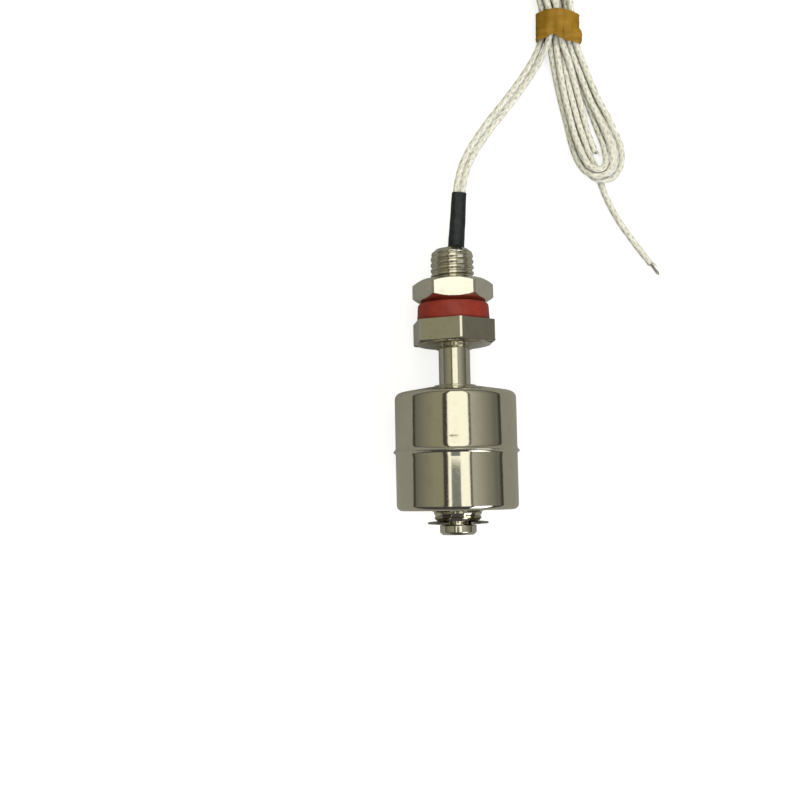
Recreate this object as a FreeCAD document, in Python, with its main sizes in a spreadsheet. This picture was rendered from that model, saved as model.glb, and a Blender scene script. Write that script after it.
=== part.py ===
"""Float level switch: a threaded stud, a stem, a sliding float and a hank of wires, lying at rest.

Every piece but the free wires is drawn along the switch's own axis, from the stem's end at height 0
to the stud's end, and is then laid down so that the float's shoulder and the lock nut touch the surface.
"""
import FreeCAD, Part
import math
import os
import Sketcher

Vector = FreeCAD.Vector

# Driving sizes in millimetres and degrees
SIZES = {
    # Stem end and retaining clip
    "tip_length": 2.2,
    "tip_diameter": 8.1,
    "tip_chamfer": 0.6,
    "plug_shoulder": 1.0,
    "spigot_length": 4.0,
    "groove_diameter": 5.8,
    "clip_thickness": 0.9,
    "clip_diameter": 13.4,
    "clip_mouth": 5.0,
    "clip_relief_radius": 1.5,
    "clip_relief_offset": 3.6,
    "clip_relief_angle": 50.0,
    # Float
    "float_neck_diameter": 10.7,
    "float_neck_length": 2.25,
    "neck_rounding": 0.3,
    "lower_shell_height": 12.85,
    "upper_shell_height": 14.35,
    "shell_diameter": 27.0,
    "shell_wall": 0.5,
    "rim_reach": 0.5,
    "rim_thickness": 0.9,
    "cone_rise": 1.3,
    "shoulder_radius": 1.5,
    "base_radius": 0.8,
    "drawn_neck_height": 0.45,
    "inner_tube_bore": 8.6,
    "inner_tube_wall": 0.4,
    "lip_length": 0.5,
    "float_travel": 8.0,
    "magnet_diameter": 17.0,
    "magnet_height": 6.0,
    "spacer_wall": 0.9,
    # Stem tube and fitting
    "stem_diameter": 7.0,
    "stem_wall": 0.5,
    "stem_socket_depth": 8.0,
    "collar_diameter": 9.0,
    "collar_height": 1.1,
    "hex_across_flats": 17.0,
    "hex_height": 5.0,
    "hex_rounding": 0.5,
    "hex_turn": 7.1,
    "thread_diameter": 9.8,
    "stud_length": 16.4,
    "stud_chamfer": 1.4,
    "stud_bore": 6.8,
    # Lock nut and seal washer
    "washer_diameter": 16.0,
    "washer_thickness": 4.0,
    "washer_rounding": 0.4,
    "nut_across_flats": 16.0,
    "nut_height": 5.2,
    "nut_chamfer": 0.6,
    "nut_turn": -1.0,
    "nut_countersink": 0.4,
    # Reed switch inside the stem
    "reed_height": 24.0,
    "reed_offset": 1.1,
    "glass_diameter": 2.2,
    "glass_length": 14.0,
    "glass_wall": 0.3,
    "glass_end": 2.0,
    "reed_width": 1.1,
    "reed_thickness": 0.2,
    "reed_overlap": 1.0,
    "reed_gap": 0.1,
    "reed_lead_diameter": 0.5,
    "reed_lead_length": 3.0,
    "joint_diameter": 1.5,
    "joint_length": 3.0,
    "insulation_wall": 0.3,
    "insulation_margin": 2.0,
    # Wires, sleeve and potting
    "wire_diameter": 1.4,
    "wire_spacing": 1.5,
    "potting_depth": 11.5,
    "sleeve_depth": 3.0,
    "sleeve_offset": 0.7,
    "sleeve_lean": 4.5,
    "sleeve_length": 16.0,
    "sleeve_base_diameter": 3.8,
    "sleeve_end_diameter": 3.5,
    "conductor_diameter": 0.7,
    "conductor_length": 3.3,
    # Hank and its tie
    "tie_length": 6.3,
    "tie_wall": 0.3,
    "tie_height": 4.8,
    "tie_width": 9.8,
    # Clearances
    "seat_gap": 0.05,
    "spacer_gap": 0.2,
    "travel_gap": 0.1,
    "slip_gap": 0.02,
    "thread_gap": 0.05,
    "washer_gap": 0.1,
    "sleeve_gap": 0.1,
}

# Free wires: points on each centre line, from the sleeve to the tie, over the surface at height 0
WIRE_A_POINTS = [
    (1.21, 43.89, 3.59),
    (1.9, 48.5, 2.6),
    (4.4, 53.7, 1.7),
    (8.3, 59.2, 1.15),
    (12.8, 64.4, 0.95),
    (17.0, 69.8, 1.15),
    (19.9, 74.4, 1.75),
    (22.0, 78.6, 2.4),
]
WIRE_B_POINTS = [
    (2.7, 43.77, 3.61),
    (3.3, 48.1, 2.6),
    (5.65, 52.9, 1.7),
    (9.5, 58.25, 1.15),
    (14.0, 63.4, 0.95),
    (18.2, 69.0, 1.15),
    (21.25, 73.6, 1.75),
    (23.4, 78.0, 2.4),
]
TAIL_POINTS = [
    (33.6, 48.3, 0.85),
    (34.9, 43.8, 0.8),
    (37.7, 38.1, 0.8),
    (41.6, 32.5, 0.8),
    (45.8, 27.15, 0.8),
]

# Outer shape of the hank: distance along it, middle, half width and height of each section
HANK_SECTIONS = [
    (45.7, 35.0, 2.0, 1.8),
    (47.2, 34.8, 3.9, 3.0),
    (50.1, 34.5, 4.9, 3.4),
    (54.1, 33.3, 5.6, 3.4),
    (60.0, 30.9, 5.3, 3.4),
    (66.8, 28.3, 4.9, 3.8),
    (72.7, 26.3, 4.7, 4.4),
]
HANK_TOP_SECTIONS = [
    (89.5, 24.5, 5.2, 4.2),
    (97.5, 24.3, 6.0, 3.6),
    (105.5, 24.1, 6.3, 3.4),
    (110.5, 24.0, 5.0, 3.2),
    (113.0, 24.0, 2.2, 1.8),
]
TIE_START = 76.9
TIE_MIDDLE = 24.7

doc = FreeCAD.newDocument("float_level_switch")


def fill_sheet():
    """Write every driving size to the sheet, one row each, with its name as the alias."""
    sheet = doc.addObject("Spreadsheet::Sheet", "Sizes")
    for row, (name, value) in enumerate(SIZES.items(), start=1):
        sheet.set(f"A{row}", name)
        sheet.set(f"B{row}", str(value))
        sheet.setAlias(f"B{row}", name)
    doc.recompute()


def add_level(name, expression):
    """Mark a height on the switch's axis, from the stem's end, that other sizes refer to."""
    level = doc.addObject("App::Placement", name)
    level.setExpression("Placement.Base.z", expression)
    return f"({name}.Placement.Base.z / 1 mm)"


def height(name):
    """Read a marked height as a number."""
    return doc.getObject(name).Placement.Base.z


fill_sheet()

clip_bottom = add_level("clip_bottom", "Sizes.tip_length")
clip_top = add_level("clip_top", f"{clip_bottom} + Sizes.clip_thickness")
float_bottom = add_level("float_bottom", f"{clip_top} + Sizes.seat_gap")
shell_bottom = add_level("shell_bottom", f"{float_bottom} + Sizes.float_neck_length")
seam = add_level("seam", f"{shell_bottom} + Sizes.lower_shell_height")
shell_top = add_level("shell_top", f"{seam} + Sizes.upper_shell_height")
lip_top = add_level("lip_top", f"{shell_top} + Sizes.lip_length")
collar_bottom = add_level("collar_bottom", f"{lip_top} + Sizes.float_travel + Sizes.travel_gap")
hex_bottom = add_level("hex_bottom", f"{collar_bottom} + Sizes.collar_height")
hex_top = add_level("hex_top", f"{hex_bottom} + Sizes.hex_height")
washer_top = add_level("washer_top", f"{hex_top} + Sizes.washer_thickness")
nut_bottom = add_level("nut_bottom", f"{washer_top} + Sizes.seat_gap")
nut_top = add_level("nut_top", f"{nut_bottom} + Sizes.nut_height")
stud_top = add_level("stud_top", f"{hex_top} + Sizes.stud_length")
plug_top = add_level("plug_top", f"{clip_top} + Sizes.seat_gap + Sizes.plug_shoulder")
socket_top = add_level("socket_top", f"{collar_bottom} + Sizes.stem_socket_depth")
glass_bottom = add_level("glass_bottom", "Sizes.reed_height - Sizes.glass_length / 2")
glass_top = add_level("glass_top", "Sizes.reed_height + Sizes.glass_length / 2")
lower_joint_top = add_level("lower_joint_top", f"{glass_bottom} - Sizes.reed_lead_length")
upper_joint_bottom = add_level("upper_joint_bottom", f"{glass_top} + Sizes.reed_lead_length")

tube_outer = "(Sizes.inner_tube_bore / 2 + Sizes.inner_tube_wall)"
shell_hole = f"({tube_outer} + Sizes.slip_gap)"
drawn_neck = f"({shell_hole} + Sizes.shell_wall)"


def lay_down():
    """Work out how the switch rests: on the float's rounded shoulder and on the nut or the hexagon."""
    rounding = "Sizes.shoulder_radius"
    slope = f"(Sizes.cone_rise / (Sizes.shell_diameter / 2 - {drawn_neck}))"
    rise = f"{rounding} * ({slope} - sqrt(1 + {slope} ^ 2))"
    middle = add_level("shoulder_middle", f"{shell_top} - Sizes.cone_rise + {rise}")
    middle_radius = f"(Sizes.shell_diameter / 2 - {rounding})"

    nut_reach = "(Sizes.nut_across_flats / 2)"
    nut_edge = f"({nut_top} - Sizes.nut_chamfer * tan(30))"
    hex_reach = "(Sizes.hex_across_flats / 2 / cos(30) * cos(Sizes.hex_turn))"
    tilts = []
    for level, reach in ((nut_edge, nut_reach), (hex_top, hex_reach)):
        run = f"({level} - {middle})"
        drop = f"({middle_radius} - {reach})"
        tilts.append(f"asin({rounding} / sqrt({run} ^ 2 + {drop} ^ 2)) + atan({drop} / {run})")
    tilt = doc.addObject("App::Placement", "resting_tilt")
    tilt.Placement = FreeCAD.Placement(Vector(), FreeCAD.Rotation(Vector(1, 0, 0), 12))
    tilt.setExpression("Placement.Rotation.Angle", f"min({tilts[0]}; {tilts[1]})")
    angle = "resting_tilt.Placement.Rotation.Angle"

    pose = doc.addObject("App::Placement", "lying_pose")
    pose.Placement = FreeCAD.Placement(Vector(), FreeCAD.Rotation(Vector(1, 0, 0), -102))
    stud_end = "(Sizes.thread_diameter / 2 - Sizes.stud_chamfer)"
    end_difference = f"({stud_end} - Sizes.tip_diameter / 2 + Sizes.tip_chamfer)"
    reach = f"{stud_top} * cos({angle}) + {end_difference} * sin({angle})"
    pose.setExpression("Placement.Rotation.Angle", f"-90 deg - {angle}")
    pose.setExpression("Placement.Base.y", f"-({reach}) / 2")
    lift = f"{middle} * sin({angle}) + {middle_radius} * cos({angle})"
    pose.setExpression("Placement.Base.z", f"{lift} + {rounding}")


lay_down()
doc.recompute()


def lay(piece):
    """Put a piece that is drawn along the axis into the resting pose."""
    piece.setExpression("Placement", "lying_pose.Placement")


def new_body(name):
    body = doc.addObject("PartDesign::Body", name)
    body.Label = name
    lay(body)
    return body


def origin_plane(body, role):
    return next(plane for plane in body.Origin.OriginFeatures if plane.Role == role)


def profile(body, name, corners):
    """Draw a closed outline whose corners are (radius, height) expressions; 0 lies on the axis."""
    sketch = body.newObject("Sketcher::SketchObject", name)
    sketch.AttachmentSupport = [(origin_plane(body, "XZ_Plane"), "")]
    sketch.MapMode = "FlatFace"
    count = len(corners)
    angles = [2 * math.pi * i / count for i in range(count)]
    start = [Vector(30 + 20 * math.cos(angle), 30 + 20 * math.sin(angle), 0) for angle in angles]
    for i in range(count):
        sketch.addGeometry(Part.LineSegment(start[i], start[(i + 1) % count]), False)
    for i in range(count):
        sketch.addConstraint(Sketcher.Constraint("Coincident", i, 2, (i + 1) % count, 1))
    for i, (radius, level) in enumerate(corners):
        if radius == 0:
            sketch.addConstraint(Sketcher.Constraint("PointOnObject", i, 1, -2))
        else:
            index = sketch.addConstraint(Sketcher.Constraint("DistanceX", -1, 1, i, 1, start[i].x))
            sketch.setExpression(f"Constraints[{index}]", radius)
        if level == 0:
            sketch.addConstraint(Sketcher.Constraint("PointOnObject", i, 1, -1))
        else:
            index = sketch.addConstraint(Sketcher.Constraint("DistanceY", -1, 1, i, 1, start[i].y))
            sketch.setExpression(f"Constraints[{index}]", level)
    return sketch


def turn(body, name, corners, kind="PartDesign::Revolution"):
    """Revolve an outline about the axis, as material or, as a Groove, as a cut."""
    sketch = profile(body, name + "_profile", corners)
    feature = body.newObject(kind, name)
    feature.Profile = sketch
    feature.ReferenceAxis = (sketch, ["V_Axis"])
    feature.Angle = 360
    doc.recompute()
    return feature


def round_edges(body, name, radius, wanted):
    """Round the edges of the last feature that the given test picks."""
    base = body.Tip
    names = [f"Edge{index}" for index, edge in enumerate(base.Shape.Edges, start=1) if wanted(edge)]
    feature = body.newObject("PartDesign::Fillet", name)
    feature.Base = (base, names)
    feature.setExpression("Radius", radius)
    doc.recompute()
    return feature


def circle_at(radius, *levels):
    """Make a test for circular edges of one radius at some heights."""
    def wanted(edge):
        if not isinstance(edge.Curve, Part.Circle) or abs(edge.Curve.Radius - radius) > 1e-4:
            return False
        return any(abs(edge.Curve.Center.z - level) < 1e-4 for level in levels)
    return wanted


def place_primitive(feature, body, x="0", y="0", z="0", turned="0"):
    """Attach a primitive to the body's base plane at an offset and a turn about the axis."""
    feature.AttachmentSupport = [(origin_plane(body, "XY_Plane"), "")]
    feature.MapMode = "FlatFace"
    feature.setExpression("AttachmentOffset.Base.x", x)
    feature.setExpression("AttachmentOffset.Base.y", y)
    feature.setExpression("AttachmentOffset.Base.z", z)
    feature.setExpression("AttachmentOffset.Rotation.Angle", turned)


def add_hexagon(body, name, across_flats, bottom, tall, turned):
    prism = body.newObject("PartDesign::AdditivePrism", name)
    prism.Polygon = 6
    prism.setExpression("Circumradius", f"{across_flats} / 2 / cos(30)")
    prism.setExpression("Height", tall)
    place_primitive(prism, body, z=bottom, turned=turned)
    doc.recompute()
    return prism


def add_cylinder(body, name, kind, radius, tall, **place):
    cylinder = body.newObject(f"PartDesign::{kind}Cylinder", name)
    cylinder.setExpression("Radius", radius)
    cylinder.setExpression("Height", tall)
    place_primitive(cylinder, body, **place)
    doc.recompute()
    return cylinder


def add_box(body, name, kind, size, **place):
    box = body.newObject(f"PartDesign::{kind}Box", name)
    for side, expression in zip(("Length", "Width", "Height"), size):
        box.setExpression(side, expression)
    place_primitive(box, body, **place)
    doc.recompute()
    return box


def ring(name, inner, outer, bottom, top):
    """Turn a plain tube between two radii and two heights."""
    body = new_body(name)
    turn(body, name + "_turned", [(inner, bottom), (outer, bottom), (outer, top), (inner, top)])
    return body


def build_fitting():
    """Build the hexagon with rounded lower edges, the collar below it and the hollow stud above it."""
    body = new_body("threaded_fitting")
    across_flats = "Sizes.hex_across_flats"
    add_hexagon(body, "hexagon", across_flats, hex_bottom, "Sizes.hex_height", "Sizes.hex_turn - 30")
    round_edges(body, "hexagon_rounding", "Sizes.hex_rounding",
                lambda edge: edge.BoundBox.ZMax - height("hex_bottom") < 1e-4)
    stud = "Sizes.thread_diameter / 2"
    turn(body, "stud_and_collar", [
        (0, collar_bottom),
        ("Sizes.collar_diameter / 2", collar_bottom),
        ("Sizes.collar_diameter / 2", f"{hex_bottom} + Sizes.hex_rounding"),
        (stud, f"{hex_bottom} + Sizes.hex_rounding"),
        (stud, f"{stud_top} - Sizes.stud_chamfer"),
        (f"{stud} - Sizes.stud_chamfer", stud_top),
        (0, stud_top),
    ])
    socket = "Sizes.stem_diameter / 2 + Sizes.slip_gap"
    turn(body, "fitting_bore", [
        (0, collar_bottom),
        (socket, collar_bottom),
        (socket, socket_top),
        ("Sizes.stud_bore / 2", socket_top),
        ("Sizes.stud_bore / 2", stud_top),
        (0, stud_top),
    ], "PartDesign::Groove")


def build_stem():
    """Stem tube, and the turned plug that closes it and carries the clip."""
    stem = "Sizes.stem_diameter / 2"
    ring("stem_tube", f"{stem} - Sizes.stem_wall", stem, plug_top, f"{socket_top} - Sizes.slip_gap")

    plug = new_body("stem_end_plug")
    tip = "Sizes.tip_diameter / 2"
    spigot = f"{stem} - Sizes.stem_wall - Sizes.slip_gap"
    turn(plug, "plug_turned", [
        (0, 0),
        (f"{tip} - Sizes.tip_chamfer", 0),
        (tip, "Sizes.tip_chamfer"),
        (tip, f"{clip_bottom} - Sizes.seat_gap"),
        ("Sizes.groove_diameter / 2", f"{clip_bottom} - Sizes.seat_gap"),
        ("Sizes.groove_diameter / 2", f"{clip_top} + Sizes.seat_gap"),
        (tip, f"{clip_top} + Sizes.seat_gap"),
        (tip, plug_top),
        (spigot, plug_top),
        (spigot, f"{plug_top} + Sizes.spigot_length"),
        (0, f"{plug_top} + Sizes.spigot_length"),
    ])


def build_clip():
    """E-shaped clip: a disc cut by the groove seat, the mouth and two relief holes."""
    body = new_body("retaining_clip")
    at = {"z": clip_bottom}
    thickness = "Sizes.clip_thickness"
    add_cylinder(body, "clip_disc", "Additive", "Sizes.clip_diameter / 2", thickness, **at)
    seat = "Sizes.groove_diameter / 2 + Sizes.seat_gap"
    add_cylinder(body, "clip_seat", "Subtractive", seat, thickness, **at)
    mouth = ["Sizes.clip_mouth", "Sizes.clip_diameter / 2", thickness]
    add_box(body, "clip_mouth", "Subtractive", mouth,
            x="-Sizes.clip_mouth / 2", y="-Sizes.clip_diameter / 2", **at)
    for side, sign in (("left", "-"), ("right", "")):
        add_cylinder(body, f"clip_relief_{side}", "Subtractive", "Sizes.clip_relief_radius", thickness,
                     x=f"{sign}Sizes.clip_relief_offset * sin(Sizes.clip_relief_angle)",
                     y="Sizes.clip_relief_offset * cos(Sizes.clip_relief_angle)", **at)


def build_washer_and_nut():
    """Seal washer on the hexagon's face and lock nut on the stud."""
    washer = new_body("seal_washer")
    inner = "Sizes.thread_diameter / 2 + Sizes.washer_gap"
    outer = "Sizes.washer_diameter / 2"
    turn(washer, "washer_turned", [
        (inner, hex_top),
        (outer, hex_top),
        (outer, washer_top),
        (inner, washer_top),
    ])
    rim = SIZES["washer_diameter"] / 2
    round_edges(washer, "washer_rounding", "Sizes.washer_rounding",
                circle_at(rim, height("hex_top"), height("washer_top")))

    nut = new_body("lock_nut")
    add_hexagon(nut, "nut_blank", "Sizes.nut_across_flats", nut_bottom, "Sizes.nut_height", "Sizes.nut_turn")
    face = "Sizes.nut_across_flats / 2 - Sizes.nut_chamfer"
    beyond = "Sizes.nut_across_flats"
    drop = f"({beyond} - {face}) * tan(30)"
    for side, end, sign in (("top", nut_top, "-"), ("bottom", nut_bottom, "+")):
        corners = [(face, end), (beyond, end), (beyond, f"{end} {sign} {drop}")]
        turn(nut, f"nut_{side}_chamfer", corners, "PartDesign::Groove")
    bore = "Sizes.thread_diameter / 2 + Sizes.thread_gap"
    mouth = f"{bore} + Sizes.nut_countersink"
    turn(nut, "nut_bore", [
        (0, nut_bottom),
        (mouth, nut_bottom),
        (bore, f"{nut_bottom} + Sizes.nut_countersink"),
        (bore, f"{nut_top} - Sizes.nut_countersink"),
        (mouth, nut_top),
        (0, nut_top),
    ], "PartDesign::Groove")


def build_float():
    """Two drawn shells that meet at the seam, on an inner tube with a ring at its lower end."""
    tube_bore = "Sizes.inner_tube_bore / 2"
    neck = "Sizes.float_neck_diameter / 2"
    tube = new_body("float_inner_tube")
    turn(tube, "tube_turned", [
        (tube_bore, float_bottom),
        (neck, float_bottom),
        (neck, shell_bottom),
        (tube_outer, shell_bottom),
        (tube_outer, lip_top),
        (tube_bore, lip_top),
    ])
    round_edges(tube, "neck_rounding", "Sizes.neck_rounding",
                circle_at(SIZES["float_neck_diameter"] / 2, height("float_bottom")))

    shell = "Sizes.shell_diameter / 2"
    inside = f"{shell} - Sizes.shell_wall"
    rim = f"{shell} + Sizes.rim_reach"
    half_rim = "Sizes.rim_thickness / 2"
    shell_number = SIZES["shell_diameter"] / 2
    inside_number = shell_number - SIZES["shell_wall"]

    lower = new_body("float_lower_shell")
    turn(lower, "lower_shell_drawn", [
        (shell_hole, shell_bottom),
        (shell, shell_bottom),
        (shell, f"{seam} - {half_rim}"),
        (rim, f"{seam} - {half_rim}"),
        (rim, seam),
        (inside, seam),
        (inside, f"{shell_bottom} + Sizes.shell_wall"),
        (shell_hole, f"{shell_bottom} + Sizes.shell_wall"),
    ])
    round_edges(lower, "base_rounding", "Sizes.base_radius", circle_at(shell_number, height("shell_bottom")))
    round_edges(lower, "base_inner_rounding", "Sizes.base_radius - Sizes.shell_wall / 2",
                circle_at(inside_number, height("shell_bottom") + SIZES["shell_wall"]))

    upper = new_body("float_upper_shell")
    shoulder = f"{shell_top} - Sizes.cone_rise"
    turn(upper, "upper_shell_drawn", [
        (inside, seam),
        (rim, seam),
        (rim, f"{seam} + {half_rim}"),
        (shell, f"{seam} + {half_rim}"),
        (shell, shoulder),
        (drawn_neck, shell_top),
        (drawn_neck, f"{shell_top} + Sizes.drawn_neck_height"),
        (shell_hole, f"{shell_top} + Sizes.drawn_neck_height"),
        (shell_hole, f"{shell_top} - Sizes.shell_wall"),
        (inside, f"{shoulder} - Sizes.shell_wall"),
    ])
    shoulder_number = height("shell_top") - SIZES["cone_rise"]
    round_edges(upper, "shoulder_rounding", "Sizes.shoulder_radius", circle_at(shell_number, shoulder_number))
    round_edges(upper, "shoulder_inner_rounding", "Sizes.shoulder_radius - Sizes.shell_wall",
                circle_at(inside_number, shoulder_number - SIZES["shell_wall"]))


def build_magnet():
    """Ring magnet at the seam, held between two spacer tubes inside the float."""
    spacer = f"{shell_hole} + Sizes.spacer_wall"
    magnet_bottom = f"{seam} - Sizes.magnet_height / 2"
    magnet_top = f"{seam} + Sizes.magnet_height / 2"
    below_shell = f"{shell_top} - Sizes.shell_wall - Sizes.spacer_gap"
    ring("ring_magnet", shell_hole, "Sizes.magnet_diameter / 2", magnet_bottom, magnet_top)
    ring("magnet_lower_spacer", shell_hole, spacer, f"{shell_bottom} + Sizes.shell_wall", magnet_bottom)
    ring("magnet_upper_spacer", shell_hole, spacer, magnet_top, below_shell)


def build_reed():
    """Glass capsule beside the axis with two reeds that overlap in its middle, and the solder joints."""
    side = {"x": "-Sizes.reed_offset"}
    half_lead = "Sizes.reed_lead_diameter / 2"

    glass = new_body("reed_glass")
    outer = "Sizes.glass_diameter / 2"
    add_cylinder(glass, "glass_outer", "Additive", outer, "Sizes.glass_length", z=glass_bottom, **side)
    round_edges(glass, "glass_rounding", f"{outer} - Sizes.glass_wall",
                circle_at(SIZES["glass_diameter"] / 2, height("glass_bottom"), height("glass_top")))
    add_cylinder(glass, "glass_cavity", "Subtractive", f"{outer} - Sizes.glass_wall",
                 "Sizes.glass_length - 2 * Sizes.glass_end", z=f"{glass_bottom} + Sizes.glass_end", **side)
    add_cylinder(glass, "glass_seals", "Subtractive", f"{half_lead} + Sizes.slip_gap", "Sizes.glass_length",
                 z=glass_bottom, **side)

    cavity_half = "(Sizes.glass_length / 2 - Sizes.glass_end)"
    blade_length = f"{cavity_half} + Sizes.reed_overlap / 2 - Sizes.seat_gap"
    blade = ["Sizes.reed_width", "Sizes.reed_thickness", blade_length]
    stub = "Sizes.reed_lead_length + Sizes.glass_end + Sizes.seat_gap"
    blade_x = "-Sizes.reed_offset - Sizes.reed_width / 2"

    lower = new_body("lower_reed")
    add_box(lower, "lower_blade", "Additive", blade, x=blade_x,
            y="-Sizes.reed_gap / 2 - Sizes.reed_thickness",
            z=f"{glass_bottom} + Sizes.glass_end + Sizes.seat_gap")
    add_cylinder(lower, "lower_blade_lead", "Additive", half_lead, stub, z=lower_joint_top, **side)

    upper = new_body("upper_reed")
    add_box(upper, "upper_blade", "Additive", blade, x=blade_x, y="Sizes.reed_gap / 2",
            z=f"{glass_top} - Sizes.glass_end - Sizes.seat_gap - ({blade_length})")
    add_cylinder(upper, "upper_blade_lead", "Additive", half_lead, stub,
                 z=f"{glass_top} - Sizes.glass_end - Sizes.seat_gap", **side)

    bridge = new_body("lower_joint")
    thick = "Sizes.joint_diameter"
    add_box(bridge, "lower_joint_block", "Additive", [f"2 * Sizes.reed_offset + {thick}", thick, thick],
            x="-Sizes.reed_offset - Sizes.joint_diameter / 2", y="-Sizes.joint_diameter / 2",
            z=f"{lower_joint_top} - Sizes.joint_diameter")
    joint = new_body("upper_joint")
    add_cylinder(joint, "upper_joint_sleeve", "Additive", "Sizes.joint_diameter / 2", "Sizes.joint_length",
                 z=upper_joint_bottom, **side)

    bore = "Sizes.stem_diameter / 2 - Sizes.stem_wall - Sizes.slip_gap"
    ring("insulating_tube", f"{bore} - Sizes.insulation_wall", bore,
         f"{lower_joint_top} - Sizes.joint_diameter - Sizes.insulation_margin",
         f"{socket_top} - Sizes.insulation_margin")


def cord_path(points, label):
    """Join straight runs by tangent arcs, each as large as its two runs allow, and print the radii."""
    spots = [Vector(*point) for point in points]
    edges = []
    radii = []
    start = spots[0]
    for before, corner, after in zip(spots, spots[1:], spots[2:]):
        run_in = corner - before
        run_out = after - corner
        shorter = min(run_in.Length, run_out.Length)
        half_turn = run_in.getAngle(run_out) / 2
        cut = 0.45 * shorter
        radii.append(cut / math.tan(half_turn))
        run_in.normalize()
        run_out.normalize()
        arc_start = corner - run_in * cut
        arc_end = corner + run_out * cut
        inward = run_out - run_in
        inward.normalize()
        to_middle = cut * (1 / math.sin(half_turn) - 1 / math.tan(half_turn))
        edges.append(Part.LineSegment(start, arc_start).toShape())
        edges.append(Part.Arc(arc_start, corner + inward * to_middle, arc_end).toShape())
        start = arc_end
    edges.append(Part.LineSegment(start, spots[-1]).toShape())
    print(label, "radii", [round(radius, 1) for radius in radii])
    return Part.Wire(edges)


def cord_solid(points, diameter, label):
    """Sweep a round section along a path of runs and arcs, and compare the volume with the length."""
    path = cord_path(points, label)
    direction = Vector(*points[1]) - Vector(*points[0])
    section = Part.Wire([Part.makeCircle(diameter / 2, Vector(*points[0]), direction)])
    solid = path.makePipeShell([section], True, False)
    expected = math.pi * diameter ** 2 / 4 * path.Length
    print(label, "length", round(path.Length, 1), "volume ratio", round(solid.Volume / expected, 4))
    return solid


def add_shape(name, shape, on_axis):
    """Keep a shape as a sub-part: one drawn along the axis is laid down, a free one stays in place."""
    feature = doc.addObject("Part::Feature", name)
    feature.Label = name
    feature.Shape = shape
    if on_axis:
        lay(feature)
    return feature


def sleeve_frame():
    """Give the sleeve's lower middle, its direction and the direction in which its wires lie side by side."""
    lean = math.radians(SIZES["sleeve_lean"])
    start = Vector(SIZES["sleeve_offset"], 0, height("stud_top") - SIZES["sleeve_depth"])
    return start, Vector(math.sin(lean), 0, math.cos(lean)), Vector(math.cos(lean), 0, -math.sin(lean))


def build_inner_leads():
    """Lead each wire from its solder joint up through the stud and the sleeve; return both solids."""
    start, along, across = sleeve_frame()
    end = start + along * SIZES["sleeve_length"]
    leads = []
    feet = {
        "inner_lead_a": (-1, -SIZES["reed_offset"], height("upper_joint_bottom") + SIZES["joint_length"]),
        "inner_lead_b": (1, SIZES["reed_offset"], height("lower_joint_top")),
    }
    for name, (side, foot_x, foot_height) in feet.items():
        offset = across * (side * SIZES["wire_spacing"] / 2)
        turn_off = Vector(foot_x, 0, height("socket_top"))
        points = [Vector(foot_x, 0, foot_height), turn_off, start + offset, end + offset]
        solid = cord_solid([tuple(point) for point in points], SIZES["wire_diameter"], name)
        add_shape(name, solid, True)
        leads.append(solid)
    return leads


def build_sleeve_and_potting(leads):
    """Tapered sleeve round the two wires, and the potting in the stud that holds it."""
    start, along, _ = sleeve_frame()
    length = SIZES["sleeve_length"]
    base_radius = SIZES["sleeve_base_diameter"] / 2
    end_radius = SIZES["sleeve_end_diameter"] / 2
    bore = (SIZES["wire_spacing"] + SIZES["wire_diameter"]) / 2 + SIZES["sleeve_gap"]
    cone = Part.makeCone(base_radius, end_radius, length, start, along)
    add_shape("shrink_sleeve", cone.cut(Part.makeCylinder(bore, length, start, along)), True)

    bottom = height("stud_top") - SIZES["potting_depth"]
    radius = SIZES["stud_bore"] / 2 - SIZES["slip_gap"]
    plug = Part.makeCylinder(radius, SIZES["potting_depth"], Vector(0, 0, bottom))
    for part in [cone] + leads:
        plug = plug.cut(part)
    add_shape("potting", max(plug.Solids, key=lambda solid: solid.Volume), True)


def ellipse_section(middle, along, half_width, half_height):
    """Make an upright ellipse across the hank's length."""
    wire = Part.Wire([Part.Ellipse(Vector(), half_width, half_height).toShape()])
    upright = FreeCAD.Rotation(Vector(1, 0, 0), 90)
    wire.Placement = FreeCAD.Placement(Vector(middle, along, half_height), upright)
    return wire


def build_hank():
    """Closed outer shape of the hank and the tie round its waist."""
    tie_half = SIZES["tie_width"] / 2
    tie_height = SIZES["tie_height"] / 2
    wall = SIZES["tie_wall"]
    gap = SIZES["seat_gap"]
    tie_end = TIE_START + SIZES["tie_length"]
    waist = [(along, TIE_MIDDLE, tie_half, 2 * tie_height) for along in (TIE_START - 1, tie_end + 1)]
    sections = []
    for along, middle, half_width, tall in HANK_SECTIONS + waist + HANK_TOP_SECTIONS:
        section = ellipse_section(middle, along, half_width, tall / 2)
        section.translate(Vector(0, 0, wall + gap))
        sections.append(section)
    add_shape("wire_hank", Part.makeLoft(sections, True, True), False)

    layers = []
    for skin in (0, wall):
        outline = ellipse_section(TIE_MIDDLE, TIE_START, tie_half + gap + skin, tie_height + gap + skin)
        outline.translate(Vector(0, 0, wall - skin))
        layers.append(Part.Face(outline).extrude(Vector(0, SIZES["tie_length"], 0)))
    add_shape("hank_tie", layers[1].cut(layers[0]), False)


def build_free_wires():
    """Two wires from the sleeve to the tie, the free tail and its bare conductor."""
    diameter = SIZES["wire_diameter"]
    add_shape("lead_wire_a", cord_solid(WIRE_A_POINTS, diameter, "lead_wire_a"), False)
    add_shape("lead_wire_b", cord_solid(WIRE_B_POINTS, diameter, "lead_wire_b"), False)
    add_shape("wire_tail", cord_solid(TAIL_POINTS, diameter, "wire_tail"), False)
    end = Vector(*TAIL_POINTS[-1])
    conductor = Part.makeCylinder(SIZES["conductor_diameter"] / 2, SIZES["conductor_length"], end,
                                  end - Vector(*TAIL_POINTS[-2]))
    add_shape("bare_conductor", conductor, False)


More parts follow.
